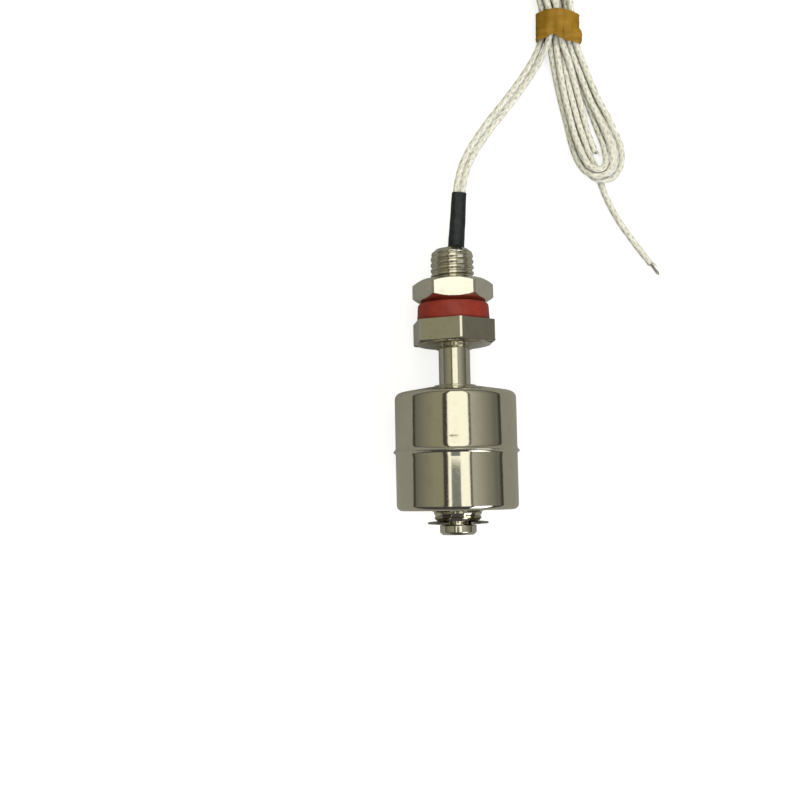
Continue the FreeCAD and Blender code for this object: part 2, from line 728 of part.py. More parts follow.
def export_parts():
    """Check every object and every sub-part, then write one STEP file for each sub-part."""
    for item in doc.Objects:
        if "Invalid" in item.State or "Error" in item.State:
            raise RuntimeError(f"{item.Name} failed: {item.State}")
    os.makedirs("parts", exist_ok=True)
    sub_parts = [item for item in doc.Objects if item.TypeId in ("PartDesign::Body", "Part::Feature")]
    for item in sub_parts:
        if item.Shape.isNull() or not item.Shape.isValid() or not item.Shape.Solids:
            raise RuntimeError(f"{item.Label} has no valid solid")
        item.Shape.exportStep(f"parts/{item.Label}.step")
    print(len(sub_parts), "sub-parts")


build_fitting()
build_stem()
build_clip()
build_washer_and_nut()
build_float()
build_magnet()
build_reed()
build_sleeve_and_potting(build_inner_leads())
build_hank()
build_free_wires()
doc.recompute()
export_parts()
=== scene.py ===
"""Float level switch at rest: turned and polished metal, a red seal and a tied hank of two braided wires.

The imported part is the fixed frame. Pieces that sit on the switch's own axis are modelled upright, with
the axis as Z and the stem's end at height 0, and are then laid down as the part is.
"""
import logging
import math
import random
from dataclasses import dataclass
from enum import Enum
from typing import Callable, Sequence

import bpy
from mathutils import Matrix, Vector, noise


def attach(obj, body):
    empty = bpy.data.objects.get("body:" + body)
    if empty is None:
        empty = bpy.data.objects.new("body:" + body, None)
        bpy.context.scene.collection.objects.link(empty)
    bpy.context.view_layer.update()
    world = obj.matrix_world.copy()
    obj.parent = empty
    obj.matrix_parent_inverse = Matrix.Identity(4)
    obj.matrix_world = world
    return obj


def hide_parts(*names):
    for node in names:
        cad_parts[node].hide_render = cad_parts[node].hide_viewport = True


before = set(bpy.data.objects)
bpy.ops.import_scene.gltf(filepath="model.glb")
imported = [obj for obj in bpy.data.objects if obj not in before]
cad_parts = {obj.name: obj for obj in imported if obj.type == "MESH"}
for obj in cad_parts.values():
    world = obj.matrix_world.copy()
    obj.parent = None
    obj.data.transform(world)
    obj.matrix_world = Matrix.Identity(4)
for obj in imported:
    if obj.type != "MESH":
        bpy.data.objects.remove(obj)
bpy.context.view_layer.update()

LOG = logging.getLogger("float_level_switch")
MM = 0.001
FULL_TURN = 2 * math.pi
SAME_PLACE = 1e-7
NO_LENGTH = 1e-8
NODE_SEAM = 2e-6
Corner = tuple[float, float]
Span = tuple[float, float]
Point = tuple[float, float, float]
Light = tuple[float, float, float]
Colour = tuple[float, float, float, float]
Socket = bpy.types.NodeSocket
Piece = bpy.types.Object

# Centre lines of the two wires: from the sleeve to the tie, six passes through it, and the free end
WIRE_A_ROUTE = (
    (0.00121, 0.04389, 0.00359), (0.0019, 0.0485, 0.0026), (0.0044, 0.0537, 0.0017),
    (0.0083, 0.0592, 0.00115), (0.0128, 0.0644, 0.00095), (0.017, 0.0698, 0.00115),
    (0.0199, 0.0744, 0.00175), (0.0212, 0.0784, 0.00265), (0.0213, 0.0825, 0.0029), (0.0197, 0.088, 0.0034),
    (0.0184, 0.0949, 0.004), (0.0179, 0.1023, 0.00385), (0.018, 0.1083, 0.0035), (0.0216, 0.1118, 0.00265),
    (0.0266, 0.1118, 0.00265), (0.0302, 0.1083, 0.00355), (0.0302, 0.1026, 0.0038),
    (0.0285, 0.0959, 0.0038), (0.0239, 0.0879, 0.0036), (0.0243, 0.0825, 0.0033), (0.0239, 0.0775, 0.0033),
    (0.0245, 0.0725, 0.00315), (0.0254, 0.0675, 0.0025), (0.0266, 0.0625, 0.0022), (0.0276, 0.0583, 0.0024),
    (0.0286, 0.0549, 0.0029), (0.0298, 0.052, 0.00365), (0.0306, 0.0499, 0.0038), (0.0321, 0.0486, 0.004),
    (0.0341, 0.0484, 0.00385), (0.0353, 0.0496, 0.00275), (0.0354, 0.0516, 0.0016),
    (0.0349, 0.0544, 0.00095), (0.0338, 0.057, 0.0008), (0.0326, 0.0602, 0.00075),
    (0.0309, 0.0645, 0.00075), (0.029, 0.069, 0.00075), (0.0273, 0.074, 0.00095), (0.0259, 0.0786, 0.00105),
    (0.0257, 0.0832, 0.0008), (0.0239, 0.0889, 0.00075), (0.027, 0.0953, 0.0008), (0.0285, 0.1017, 0.00075),
    (0.0287, 0.1065, 0.00075), (0.026, 0.1092, 0.00075), (0.0223, 0.1092, 0.00075),
    (0.0195, 0.1065, 0.00075), (0.0195, 0.1016, 0.0008), (0.02, 0.0945, 0.00125), (0.0208, 0.0879, 0.00245),
    (0.0229, 0.0822, 0.0014), (0.0232, 0.0774, 0.0013), (0.0246, 0.0725, 0.00105), (0.0257, 0.068, 0.0007),
    (0.027, 0.0635, 0.0008), (0.0283, 0.0586, 0.001), (0.029, 0.0546, 0.00155), (0.0302, 0.0513, 0.0023),
    (0.0317, 0.0491, 0.0024), (0.0336, 0.0479, 0.00255), (0.0358, 0.048, 0.00155),
    (0.0374, 0.0496, 0.00085), (0.0377, 0.0518, 0.00075), (0.0372, 0.0542, 0.0008),
    (0.0362, 0.0563, 0.00075), (0.0347, 0.0596, 0.00075), (0.0326, 0.064, 0.00085), (0.0306, 0.069, 0.001),
    (0.0287, 0.0741, 0.00145), (0.0271, 0.0786, 0.00185), (0.0272, 0.0831, 0.0013),
    (0.0251, 0.0885, 0.00155), (0.0274, 0.0945, 0.00215), (0.0287, 0.0992, 0.0022), (0.0288, 0.104, 0.0022),
    (0.0262, 0.1067, 0.0022), (0.0223, 0.1067, 0.0022), (0.0197, 0.104, 0.0023), (0.0201, 0.099, 0.0025),
    (0.0212, 0.0939, 0.0026), (0.0226, 0.0886, 0.00145), (0.0251, 0.0829, 0.00215),
    (0.0251, 0.0774, 0.00245), (0.0258, 0.0724, 0.00225), (0.0268, 0.0675, 0.00205),
    (0.028, 0.063, 0.00215), (0.0292, 0.0585, 0.00225), (0.0306, 0.0545, 0.00245), (0.0317, 0.0516, 0.0016),
    (0.0336, 0.0483, 0.00085), (0.0349, 0.0438, 0.0008), (0.0377, 0.0381, 0.0008), (0.0416, 0.0325, 0.0008),
    (0.0458, 0.02715, 0.0008),
)
WIRE_B_ROUTE = (
    (0.0027, 0.04377, 0.00361), (0.0033, 0.0481, 0.0026), (0.00565, 0.0529, 0.0017),
    (0.0095, 0.05825, 0.00115), (0.014, 0.0634, 0.00095), (0.0182, 0.069, 0.00115),
    (0.0211, 0.0735, 0.00235), (0.0225, 0.0775, 0.0044), (0.023, 0.0819, 0.00455), (0.0207, 0.0879, 0.0048),
    (0.0198, 0.0949, 0.0045), (0.0194, 0.1022, 0.00405), (0.0195, 0.1073, 0.0037), (0.0223, 0.11, 0.0028),
    (0.0261, 0.11, 0.0028), (0.0288, 0.1074, 0.00375), (0.0287, 0.1025, 0.00375), (0.0269, 0.096, 0.00355),
    (0.0226, 0.088, 0.00295), (0.0228, 0.0825, 0.00315), (0.0225, 0.0775, 0.0026),
    (0.0234, 0.0725, 0.00205), (0.0245, 0.0674, 0.0013), (0.0256, 0.063, 0.00085),
    (0.0268, 0.0585, 0.00075), (0.0276, 0.0548, 0.0008), (0.0286, 0.0515, 0.00135), (0.03, 0.0486, 0.00255),
    (0.0322, 0.047, 0.0036), (0.0349, 0.0471, 0.00355), (0.0367, 0.049, 0.0027), (0.0369, 0.0518, 0.00215),
    (0.0361, 0.0546, 0.002), (0.0351, 0.0572, 0.00205), (0.0336, 0.0602, 0.00205), (0.0317, 0.064, 0.0021),
    (0.0298, 0.0689, 0.00215), (0.0277, 0.0739, 0.0026), (0.0262, 0.0785, 0.00295), (0.0266, 0.083, 0.003),
    (0.0263, 0.0884, 0.0026), (0.0294, 0.0949, 0.00115), (0.0304, 0.1018, 0.00075),
    (0.0303, 0.1075, 0.00075), (0.0267, 0.111, 0.00075), (0.0217, 0.111, 0.00075), (0.018, 0.1074, 0.00075),
    (0.0178, 0.1015, 0.00075), (0.0184, 0.0942, 0.0008), (0.0206, 0.0883, 0.0007),
    (0.0242, 0.0831, 0.00085), (0.0246, 0.0776, 0.00095), (0.0261, 0.0726, 0.0008),
    (0.0273, 0.0681, 0.00075), (0.0286, 0.0635, 0.0008), (0.03, 0.0586, 0.0008), (0.0306, 0.0545, 0.0008),
    (0.0304, 0.0513, 0.0007), (0.031, 0.0482, 0.0012), (0.0335, 0.046, 0.00255), (0.0366, 0.0462, 0.0017),
    (0.0388, 0.0484, 0.00095), (0.0393, 0.0514, 0.00085), (0.0388, 0.0543, 0.0008),
    (0.0378, 0.0564, 0.0009), (0.0361, 0.0599, 0.0013), (0.0336, 0.064, 0.0021), (0.0314, 0.069, 0.0023),
    (0.0293, 0.074, 0.00295), (0.0275, 0.0784, 0.0037), (0.0274, 0.0828, 0.0043), (0.0265, 0.0883, 0.004),
    (0.0295, 0.0944, 0.003), (0.0305, 0.0991, 0.00245), (0.0304, 0.1047, 0.00225), (0.0268, 0.1083, 0.0022),
    (0.0217, 0.1083, 0.0022), (0.0182, 0.1048, 0.00225), (0.0182, 0.0987, 0.0023),
    (0.0196, 0.0937, 0.00275), (0.0215, 0.09, 0.00365), (0.0241, 0.0842, 0.0051), (0.0247, 0.0776, 0.00445),
    (0.0268, 0.0726, 0.0034), (0.0283, 0.0676, 0.0023), (0.0296, 0.0631, 0.0021), (0.0307, 0.0587, 0.002),
    (0.0317, 0.0554, 0.00185), (0.033, 0.0525, 0.0017),
)
# Centre lines of the bare conductor at wire A's end and of wire B's short stub
WIRE_A_TIP = ((0.0456, 0.02741, 0.0008), (0.04635, 0.02645, 0.00078), (0.04784, 0.02455, 0.00045))
WIRE_B_TIP = ((0.03275, 0.0528, 0.0017), (0.0330, 0.0524, 0.0017), (0.0333, 0.05215, 0.0016))


class Body(Enum):
    """The moving bodies of the part."""

    SWITCH = "body"
    FLOAT = "float"
    NUT = "nut"


@dataclass(frozen=True)
class RestingAxis:
    """Where the switch's axis lies when it rests on the float's shoulder and the nut."""

    tilt: float = math.radians(11.930932661753394)
    foot: Point = (0.0, -0.031167129, 0.019446285)

    def matrix(self) -> Matrix:
        """Return the placement that lays an upright piece down.

        Returns:
            The placement.
        """
        sine, cosine = math.sin(self.tilt), math.cos(self.tilt)
        turned = Matrix(((1, 0, 0), (0, -sine, cosine), (0, -cosine, -sine)))
        return Matrix.Translation(self.foot) @ turned.to_4x4()


AXIS = RestingAxis()


def linear(red: int, green: int, blue: int) -> Colour:
    """Return a colour read on a screen, 0 to 255, as the shader's linear colour.

    Args:
        red: its red part.
        green: its green part.
        blue: its blue part.

    Returns:
        The linear colour.
    """
    scaled = [value / 255 for value in (red, green, blue)]
    made = [v / 12.92 if v <= 0.04045 else ((v + 0.055) / 1.055) ** 2.4 for v in scaled]
    return (made[0], made[1], made[2], 1.0)


class NodeTree:
    """A shader's node tree, with short ways to add and join its nodes."""

    def __init__(self, tree: bpy.types.NodeTree) -> None:
        """Keep the tree that the nodes go into."""
        self.tree = tree

    def add(self, kind: str, inputs: dict | None = None, **settings: object) -> bpy.types.Node:
        """Add a node.

        Args:
            kind: the node's type without its ShaderNode prefix.
            inputs: values or sockets for its inputs, by name or number.
            settings: the node's own properties.

        Returns:
            The node.
        """
        node = self.tree.nodes.new("ShaderNode" + kind)
        for key, value in settings.items():
            setattr(node, key, value)
        self.feed(node, inputs or {})
        return node

    def feed(self, node: bpy.types.Node, inputs: dict) -> None:
        """Set or link the inputs of a node.

        Args:
            node: the node to feed.
            inputs: values or sockets, by name or number.
        """
        for key, value in inputs.items():
            if isinstance(value, bpy.types.NodeSocket):
                self.tree.links.new(value, node.inputs[key])
            else:
                node.inputs[key].default_value = value

    def sums(self, operation: str, first: Socket | float, second: Socket | float = 0.0) -> Socket:
        """Return the result of a Math node."""
        return self.add("Math", {0: first, 1: second}, operation=operation).outputs[0]

    def between(self, value: Socket, low: float, high: float, start: float = 0.0, end: float = 1.0) -> Socket:
        """Return a value stretched from one range to another, and held within it."""
        inputs = {"Value": value, "From Min": low, "From Max": high, "To Min": start, "To Max": end}
        return self.add("MapRange", inputs).outputs[0]

    def within(self, value: Socket, low: float, high: float, soft: float) -> Socket:
        """Return 1 where a value lies between two limits and 0 outside them, with soft edges."""
        rise = self.between(value, low - soft, low + soft)
        return self.sums("MULTIPLY", rise, self.between(value, high - soft, high + soft, 1.0, 0.0))

    def blend(self, share: Socket, first: object, second: object) -> Socket:
        """Return a colour between two."""
        return self.add("Mix", {0: share, 6: first, 7: second}, data_type="RGBA").outputs[2]


class Finish(NodeTree):
    """A material under construction round its Principled shader."""

    def __init__(self, name: str) -> None:
        """Start a material that holds a Principled shader alone.

        Args:
            name: the material's name.
        """
        self.material = bpy.data.materials.new(name)
        self.material.use_nodes = True
        super().__init__(self.material.node_tree)
        self.shader = self.tree.nodes["Principled BSDF"]

    def surface(self, inputs: dict) -> None:
        """Set or link inputs of the Principled shader."""
        self.feed(self.shader, inputs)

    def place(self, scale: Point = (1.0, 1.0, 1.0), along_axis: bool = True) -> Socket:
        """Give coordinates in millimetres.

        Args:
            scale: how much each of the three is stretched.
            along_axis: measured upright on the switch's own axis, or else in the part's frame.

        Returns:
            The vector socket.
        """
        coordinates = self.add("TexCoord").outputs["Object"]
        if along_axis:
            upright = {"Vector": coordinates, "Location": AXIS.foot, "Rotation": AXIS.matrix().to_euler()}
            coordinates = self.add("Mapping", upright, vector_type="TEXTURE").outputs[0]
        stretched = {"Vector": coordinates, "Scale": [value / MM for value in scale]}
        return self.add("Mapping", stretched).outputs[0]

    def noise(self, where: Socket, scale: float, detail: float = 3.0, roughness: float = 0.5) -> Socket:
        """Return a noise pattern's value."""
        inputs = {"Vector": where, "Scale": scale, "Detail": detail, "Roughness": roughness}
        return self.add("TexNoise", inputs).outputs[0]

    def bump(self, height: Socket, depth_mm: float, strength: float = 1.0, under: Socket | None = None) -> Socket:
        """Return a normal roughened by a height pattern, over another one if given.

        Args:
            height: the pattern's height, 0 to 1.
            depth_mm: the depth that it stands for.
            strength: how much of it shows.
            under: the normal under it.

        Returns:
            The normal socket.
        """
        inputs = {"Height": height, "Distance": depth_mm * MM, "Strength": strength}
        if under is not None:
            inputs["Normal"] = under
        return self.add("Bump", inputs).outputs[0]


@dataclass(frozen=True)
class TurnedMetal:
    """Metal with fine rings round the axis, faint stains and small dents."""

    name: str
    colour: Colour
    stain: Colour
    roughness: float = 0.25
    rings_per_mm: float = 6.0
    ring_depth_mm: float = 0.006
    wave_depth_mm: float = 0.02
    wave_scale: float = 0.25
    stain_share: float = 0.5
    scuff: Point | None = None
    scuff_colour: Colour = linear(96, 90, 60)

    def build(self) -> bpy.types.Material:
        """Build the material.

        Returns:
            The material.
        """
        nodes = Finish(self.name)
        where = nodes.place()
        rings = nodes.noise(nodes.place((0.15, 0.15, self.rings_per_mm)), 1.0, 4.0, 0.7)
        waves = nodes.noise(where, self.wave_scale, 2.0)
        specks = nodes.noise(where, 2.5, 5.0, 0.65)
        cloud = nodes.noise(where, 0.45, 4.0, 0.6)
        stained = nodes.between(cloud, 0.5, 0.8, 0.0, self.stain_share)
        rough = nodes.sums("ADD", nodes.between(specks, 0.35, 0.75, -0.03, 0.06),
                           nodes.between(rings, 0.3, 0.7, self.roughness - 0.03, self.roughness + 0.04))
        colour = nodes.blend(stained, self.colour, self.stain)
        if self.scuff is not None:
            colour = nodes.blend(self.scuffed(nodes, specks), colour, self.scuff_colour)
        waved = nodes.bump(waves, self.wave_depth_mm, 0.6)
        ringed = nodes.bump(rings, self.ring_depth_mm, 0.7, waved)
        nodes.surface({"Base Color": colour, "Metallic": 1.0, "Roughness": rough,
                       "Normal": nodes.bump(specks, 0.002, 0.4, ringed)})
        return nodes.material

    def scuffed(self, nodes: Finish, specks: Socket) -> Socket:
        """Return the share of a small scuff mark at one place on the front.

        Args:
            nodes: the material's nodes.
            specks: the fine noise that breaks the mark up.

        Returns:
            The share, 0 to 1.
        """
        split = nodes.add("SeparateXYZ", {0: nodes.place()})
        wide = nodes.within(split.outputs[0], self.scuff[0] - 0.8, self.scuff[0] + 0.8, 0.3)
        high = nodes.within(split.outputs[2], self.scuff[2] - 0.2, self.scuff[2] + 0.2, 0.14)
        front = nodes.between(split.outputs[1], 0.0, 0.5, 1.0, 0.0)
        return nodes.sums("MULTIPLY", nodes.sums("MULTIPLY", wide, high),
                          nodes.sums("MULTIPLY", front, nodes.between(specks, 0.3, 0.5)))


@dataclass(frozen=True)
class DullSolid:
    """Rubber, plastic, resin or ferrite: a mottled colour with a grain."""

    name: str
    colour: Colour
    shade: Colour
    roughness: float = 0.5
    grain_scale: float = 3.0
    grain_depth_mm: float = 0.02
    gloss: float = 0.5

    def build(self) -> bpy.types.Material:
        """Build the material.

        Returns:
            The material.
        """
        nodes = Finish(self.name)
        where = nodes.place()
        grain = nodes.noise(where, self.grain_scale, 6.0, 0.6)
        patches = nodes.noise(where, self.grain_scale / 6, 3.0)
        mottled = nodes.between(nodes.sums("ADD", grain, patches), 0.75, 1.3)
        nodes.surface({"Base Color": nodes.blend(mottled, self.colour, self.shade),
                       "Roughness": nodes.between(grain, 0.3, 0.7, self.roughness - 0.08, self.roughness + 0.1),
                       "Specular IOR Level": self.gloss, "Normal": nodes.bump(grain, self.grain_depth_mm, 0.6)})
        return nodes.material


@dataclass(frozen=True)
class CapsuleGlass:
    """Clear glass of the reed capsule, with faint drawing lines."""

    name: str = "capsule_glass"

    def build(self) -> bpy.types.Material:
        """Build the material.

        Returns:
            The material.
        """
        nodes = Finish(self.name)
        lines = nodes.noise(nodes.place((3.0, 3.0, 0.2)), 1.0, 2.0)
        nodes.surface({"Base Color": nodes.blend(lines, linear(225, 238, 228), linear(240, 246, 240)),
                       "Roughness": nodes.between(lines, 0.3, 0.7, 0.02, 0.06), "Transmission Weight": 1.0,
                       "IOR": 1.5, "Normal": nodes.bump(lines, 0.004, 0.4)})
        return nodes.material


@dataclass(frozen=True)
class BraidedYarn:
    """Off-white braid: pale strands with soil patches, painted shade in the grey-green hollows, fine near-white yarns
    along each strand that are partly a painted highlight, and painted shade in the crevices between wires.
    """

    name: str = "braided_wire"
    pale: Colour = linear(226, 225, 213)
    pale_soiled: Colour = linear(196, 194, 176)
    # Painted shade: the colours of the braid's hollows, clean and where soiled.
    hollow_shade: Colour = linear(212, 210, 196)
    soiled_hollow_shade: Colour = linear(158, 156, 138)
    # Partly a painted highlight: near-white yarns, random in place, on the raised strands.
    crest: Colour = linear(246, 245, 238)
    # Painted shade: the colour of the crevices where wires lie close together.
    painted_crevice_shade: Colour = linear(128, 123, 106)
    crevice_reach_mm: float = 1.1

    def build(self) -> bpy.types.Material:
        """Build the material, which reads the braid's own height attribute and its UV map in millimetres.

        Returns:
            The material.
        """
        nodes = Finish(self.name)
        height = nodes.add("Attribute", attribute_name="braid_height").outputs["Fac"]
        along = nodes.add("UVMap", uv_map="along_braid").outputs[0]
        yarns = nodes.noise(nodes.add("Mapping", {"Vector": along, "Scale": (4.0, 7.0, 1.0)}).outputs[0], 1.0, 4.0, 0.7)
        soiled = nodes.noise(nodes.add("Mapping", {"Vector": along, "Scale": (0.9, 0.6, 1.0)}).outputs[0], 1.0, 4.0)
        painted_crevice_shade = nodes.add("AmbientOcclusion", {"Distance": self.crevice_reach_mm * MM}, samples=6).outputs["AO"]
        pale = nodes.blend(nodes.between(soiled, 0.42, 0.62), self.pale, self.pale_soiled)
        hollow_shade = nodes.blend(nodes.between(soiled, 0.35, 0.6), self.hollow_shade, self.soiled_hollow_shade)
        # Near-white yarns on the strands: partly random yarn tone, partly a painted highlight.
        colour = nodes.blend(nodes.between(yarns, 0.38, 0.66), pale, self.crest)
        # Painted shade: the braid's hollows, low on its height attribute, take the darker grey-green colour.
        colour = nodes.blend(nodes.between(height, -0.15, 0.8), hollow_shade, colour)
        # Painted shade: ambient occlusion darkens the braid in the crevices between wires.
        colour = nodes.blend(nodes.between(painted_crevice_shade, 0.08, 0.52), self.painted_crevice_shade, colour)
        nodes.surface({"Base Color": colour, "Roughness": nodes.between(yarns, 0.3, 0.7, 0.42, 0.62),
                       "Sheen Weight": 0.2, "Sheen Roughness": 0.5, "Specular IOR Level": 0.45,
                       "Normal": nodes.bump(yarns, 0.04, 0.7)})
        return nodes.material


@dataclass(frozen=True)
class CrinkledTape:
    """Ochre adhesive tape: long crinkles round the hank and darker, denser places."""

    name: str = "ochre_tape"
    ochre: Colour = linear(146, 108, 8)
    worn: Colour = linear(166, 124, 38)
    crinkle: Colour = linear(128, 96, 2)

    def build(self) -> bpy.types.Material:
        """Build the material.

        Returns:
            The material.
        """
        nodes = Finish(self.name)
        crinkles = nodes.noise(nodes.place((0.12, 1.3, 0.4), False), 1.0, 5.0, 0.6)
        patches = nodes.noise(nodes.place((0.28, 0.3, 0.3), False), 1.0, 3.0)
        colour = nodes.blend(nodes.between(patches, 0.38, 0.62), self.ochre, self.worn)
        colour = nodes.blend(nodes.between(crinkles, 0.45, 0.75), colour, self.crinkle)
        nodes.surface({"Base Color": colour, "Roughness": nodes.between(crinkles, 0.3, 0.7, 0.5, 0.66),
                       "Specular IOR Level": 0.3, "Normal": nodes.bump(crinkles, 0.09, 0.7)})
        return nodes.material


class Finishes:
    """Every finish of the switch, built once, under its own name."""

    def __init__(self) -> None:
        """Build them all."""
        steel, stain, brown = linear(205, 201, 184), linear(178, 173, 154), linear(176, 168, 146)
        made = [
            TurnedMetal("stainless_satin", steel, stain, roughness=0.13, rings_per_mm=5.0, ring_depth_mm=0.005),
            TurnedMetal("stainless_polished", steel, brown, roughness=0.07, rings_per_mm=9.0, ring_depth_mm=0.0012,
                        wave_depth_mm=0.01, wave_scale=0.12, stain_share=0.25, scuff=(-1.1, 0, 21.25)),
            TurnedMetal("thread_rolled", steel, stain, roughness=0.14, rings_per_mm=3.0, ring_depth_mm=0.003),
            TurnedMetal("nickel_nut", linear(214, 211, 198), stain, roughness=0.12, rings_per_mm=4.0,
                        ring_depth_mm=0.001, wave_depth_mm=0.004),
            TurnedMetal("spring_steel", linear(150, 147, 138), linear(96, 92, 84), roughness=0.2, rings_per_mm=3.0,
                        ring_depth_mm=0.004),
            TurnedMetal("reed_metal", linear(196, 190, 178), brown, roughness=0.3),
            TurnedMetal("solder", linear(190, 190, 188), linear(150, 150, 150), roughness=0.35, rings_per_mm=1.0,
                        ring_depth_mm=0.01),
            TurnedMetal("bare_copper", linear(200, 197, 192), linear(140, 136, 130), roughness=0.4,
                        rings_per_mm=2.0, ring_depth_mm=0.01, stain_share=0.9),
            DullSolid("red_seal", linear(152, 50, 34), linear(126, 34, 20), grain_scale=2.5, grain_depth_mm=0.03,
                      gloss=0.35),
            DullSolid("ferrite", linear(62, 60, 60), linear(44, 42, 42), roughness=0.6, grain_scale=8.0),
            DullSolid("spacer_plastic", linear(226, 224, 214), linear(204, 202, 190), grain_scale=5.0),
            DullSolid("black_sleeve", linear(38, 46, 52), linear(18, 22, 26), roughness=0.45, grain_scale=4.0,
                      grain_depth_mm=0.03, gloss=0.35),
            DullSolid("black_potting", linear(30, 30, 30), linear(14, 14, 14), roughness=0.3, grain_scale=1.6,
                      grain_depth_mm=0.05),
            CapsuleGlass(), BraidedYarn(), CrinkledTape(),
        ]
        self.by_name = {finish.name: finish.build() for finish in made}

    def dress(self, piece: Piece, slot: str, look: str | None = None) -> None:
        """Give a new piece a finish: the one named for its slot, unless another look is given.

        Args:
            piece: the new piece.
            slot: the slot, whose finish it takes where no look is given.
            look: the finish's name, where it isn't the slot's.
        """
        piece.data.materials.clear()
        piece.data.materials.append(self.by_name[look or slot])

    def dress_node(self, node: Piece) -> None:
        """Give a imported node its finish, by the slot that its packed material is named for."""
        for place in node.material_slots:
            place.material = self.by_name[place.material.name.split(".")[0]]


def choose(piece: Piece) -> None:
    """Make one piece the only selected and active one, in object mode.

    Args:
        piece: the piece.
    """
    if bpy.context.object and bpy.context.object.mode != "OBJECT":
        bpy.ops.object.mode_set(mode="OBJECT")
    bpy.ops.object.select_all(action="DESELECT")
    piece.select_set(True)
    bpy.context.view_layer.objects.active = piece


def named(name: str) -> Piece:
    """Name the primitive that was just added, and return it.

    Args:
        name: its name.

    Returns:
        The piece.
    """
    piece = bpy.context.object
    piece.name = piece.data.name = name
    return piece


def tidy_mesh(piece: Piece, smooth_below: float = 32.0) -> None:
    """Merge doubles, turn faces outwards and shade smooth where faces meet gently.

    Args:
        piece: the piece.
        smooth_below: the angle in degrees below which faces shade as one.
    """
    choose(piece)
    bpy.ops.object.mode_set(mode="EDIT")
    bpy.ops.mesh.select_all(action="SELECT")
    bpy.ops.mesh.remove_doubles(threshold=SAME_PLACE)
    bpy.ops.mesh.dissolve_degenerate(threshold=NO_LENGTH)
    bpy.ops.mesh.normals_make_consistent(inside=False)
    bpy.ops.object.mode_set(mode="OBJECT")
    bpy.ops.object.shade_smooth_by_angle(angle=math.radians(smooth_below))


def lay_down(piece: Piece) -> None:
    """Lay an upright piece down on the switch's axis, with its place in its mesh.

    Args:
        piece: the upright piece.
    """
    choose(piece)
    piece.matrix_world = AXIS.matrix()
    bpy.ops.object.transform_apply(location=True, rotation=True, scale=True)


def lathe(name: str, outline: Sequence[Corner], steps: int = 144) -> Piece:
    """Spin a closed outline about the upright axis.

    Args:
        name: the piece's name.
        outline: (radius, height) corners in millimetres.
        steps: how many steps go round.

    Returns:
        The upright piece.
    """
    bpy.ops.object.select_all(action="DESELECT")
    bpy.ops.mesh.primitive_circle_add(vertices=len(outline), fill_type="NOTHING")
    piece = named(name)
    for vertex, (radius, height) in zip(piece.data.vertices, outline):
        vertex.co = (radius * MM, 0, height * MM)
    bpy.ops.object.mode_set(mode="EDIT")
    bpy.ops.mesh.select_all(action="SELECT")
    bpy.ops.mesh.spin(steps=steps, angle=FULL_TURN, center=(0, 0, 0), axis=(0, 0, 1), use_auto_merge=True)
    bpy.ops.object.mode_set(mode="OBJECT")
    tidy_mesh(piece)
    return piece


def arc(centre: Corner, radius: float, start: float, end: float, steps: int = 6) -> list[Corner]:
    """Return corners of a rounding in an outline, from one angle in degrees to another."""
    turns = [math.radians(start + (end - start) * step / steps) for step in range(steps + 1)]
    return [(centre[0] + radius * math.cos(turn), centre[1] + radius * math.sin(turn)) for turn in turns]


def shaped_tube(name: str, around: int, rings: int, place: Callable[[float, float], Vector], capped: bool) -> Piece:
    """Extrude a circle ring by ring and move each corner to its place.

    Args:
        name: the piece's name.
        around: corners in a ring.
        rings: how many times the ring is extruded.
        place: gives a corner's place from its angle and its share of the way along.
        capped: whether both ends are closed.

    Returns:
        The piece.
    """
    bpy.ops.object.select_all(action="DESELECT")
    bpy.ops.mesh.primitive_circle_add(vertices=around, radius=1, fill_type="NGON" if capped else "NOTHING")
    piece = named(name)
    bpy.ops.object.mode_set(mode="EDIT")
    bpy.ops.mesh.select_all(action="SELECT")
    for _ in range(rings):
        bpy.ops.mesh.extrude_region_move(TRANSFORM_OT_translate={"value": (0, 0, 1)})
    bpy.ops.object.mode_set(mode="OBJECT")
    for vertex in piece.data.vertices:
        vertex.co = place(math.atan2(vertex.co.y, vertex.co.x), vertex.co.z / rings)
    return piece


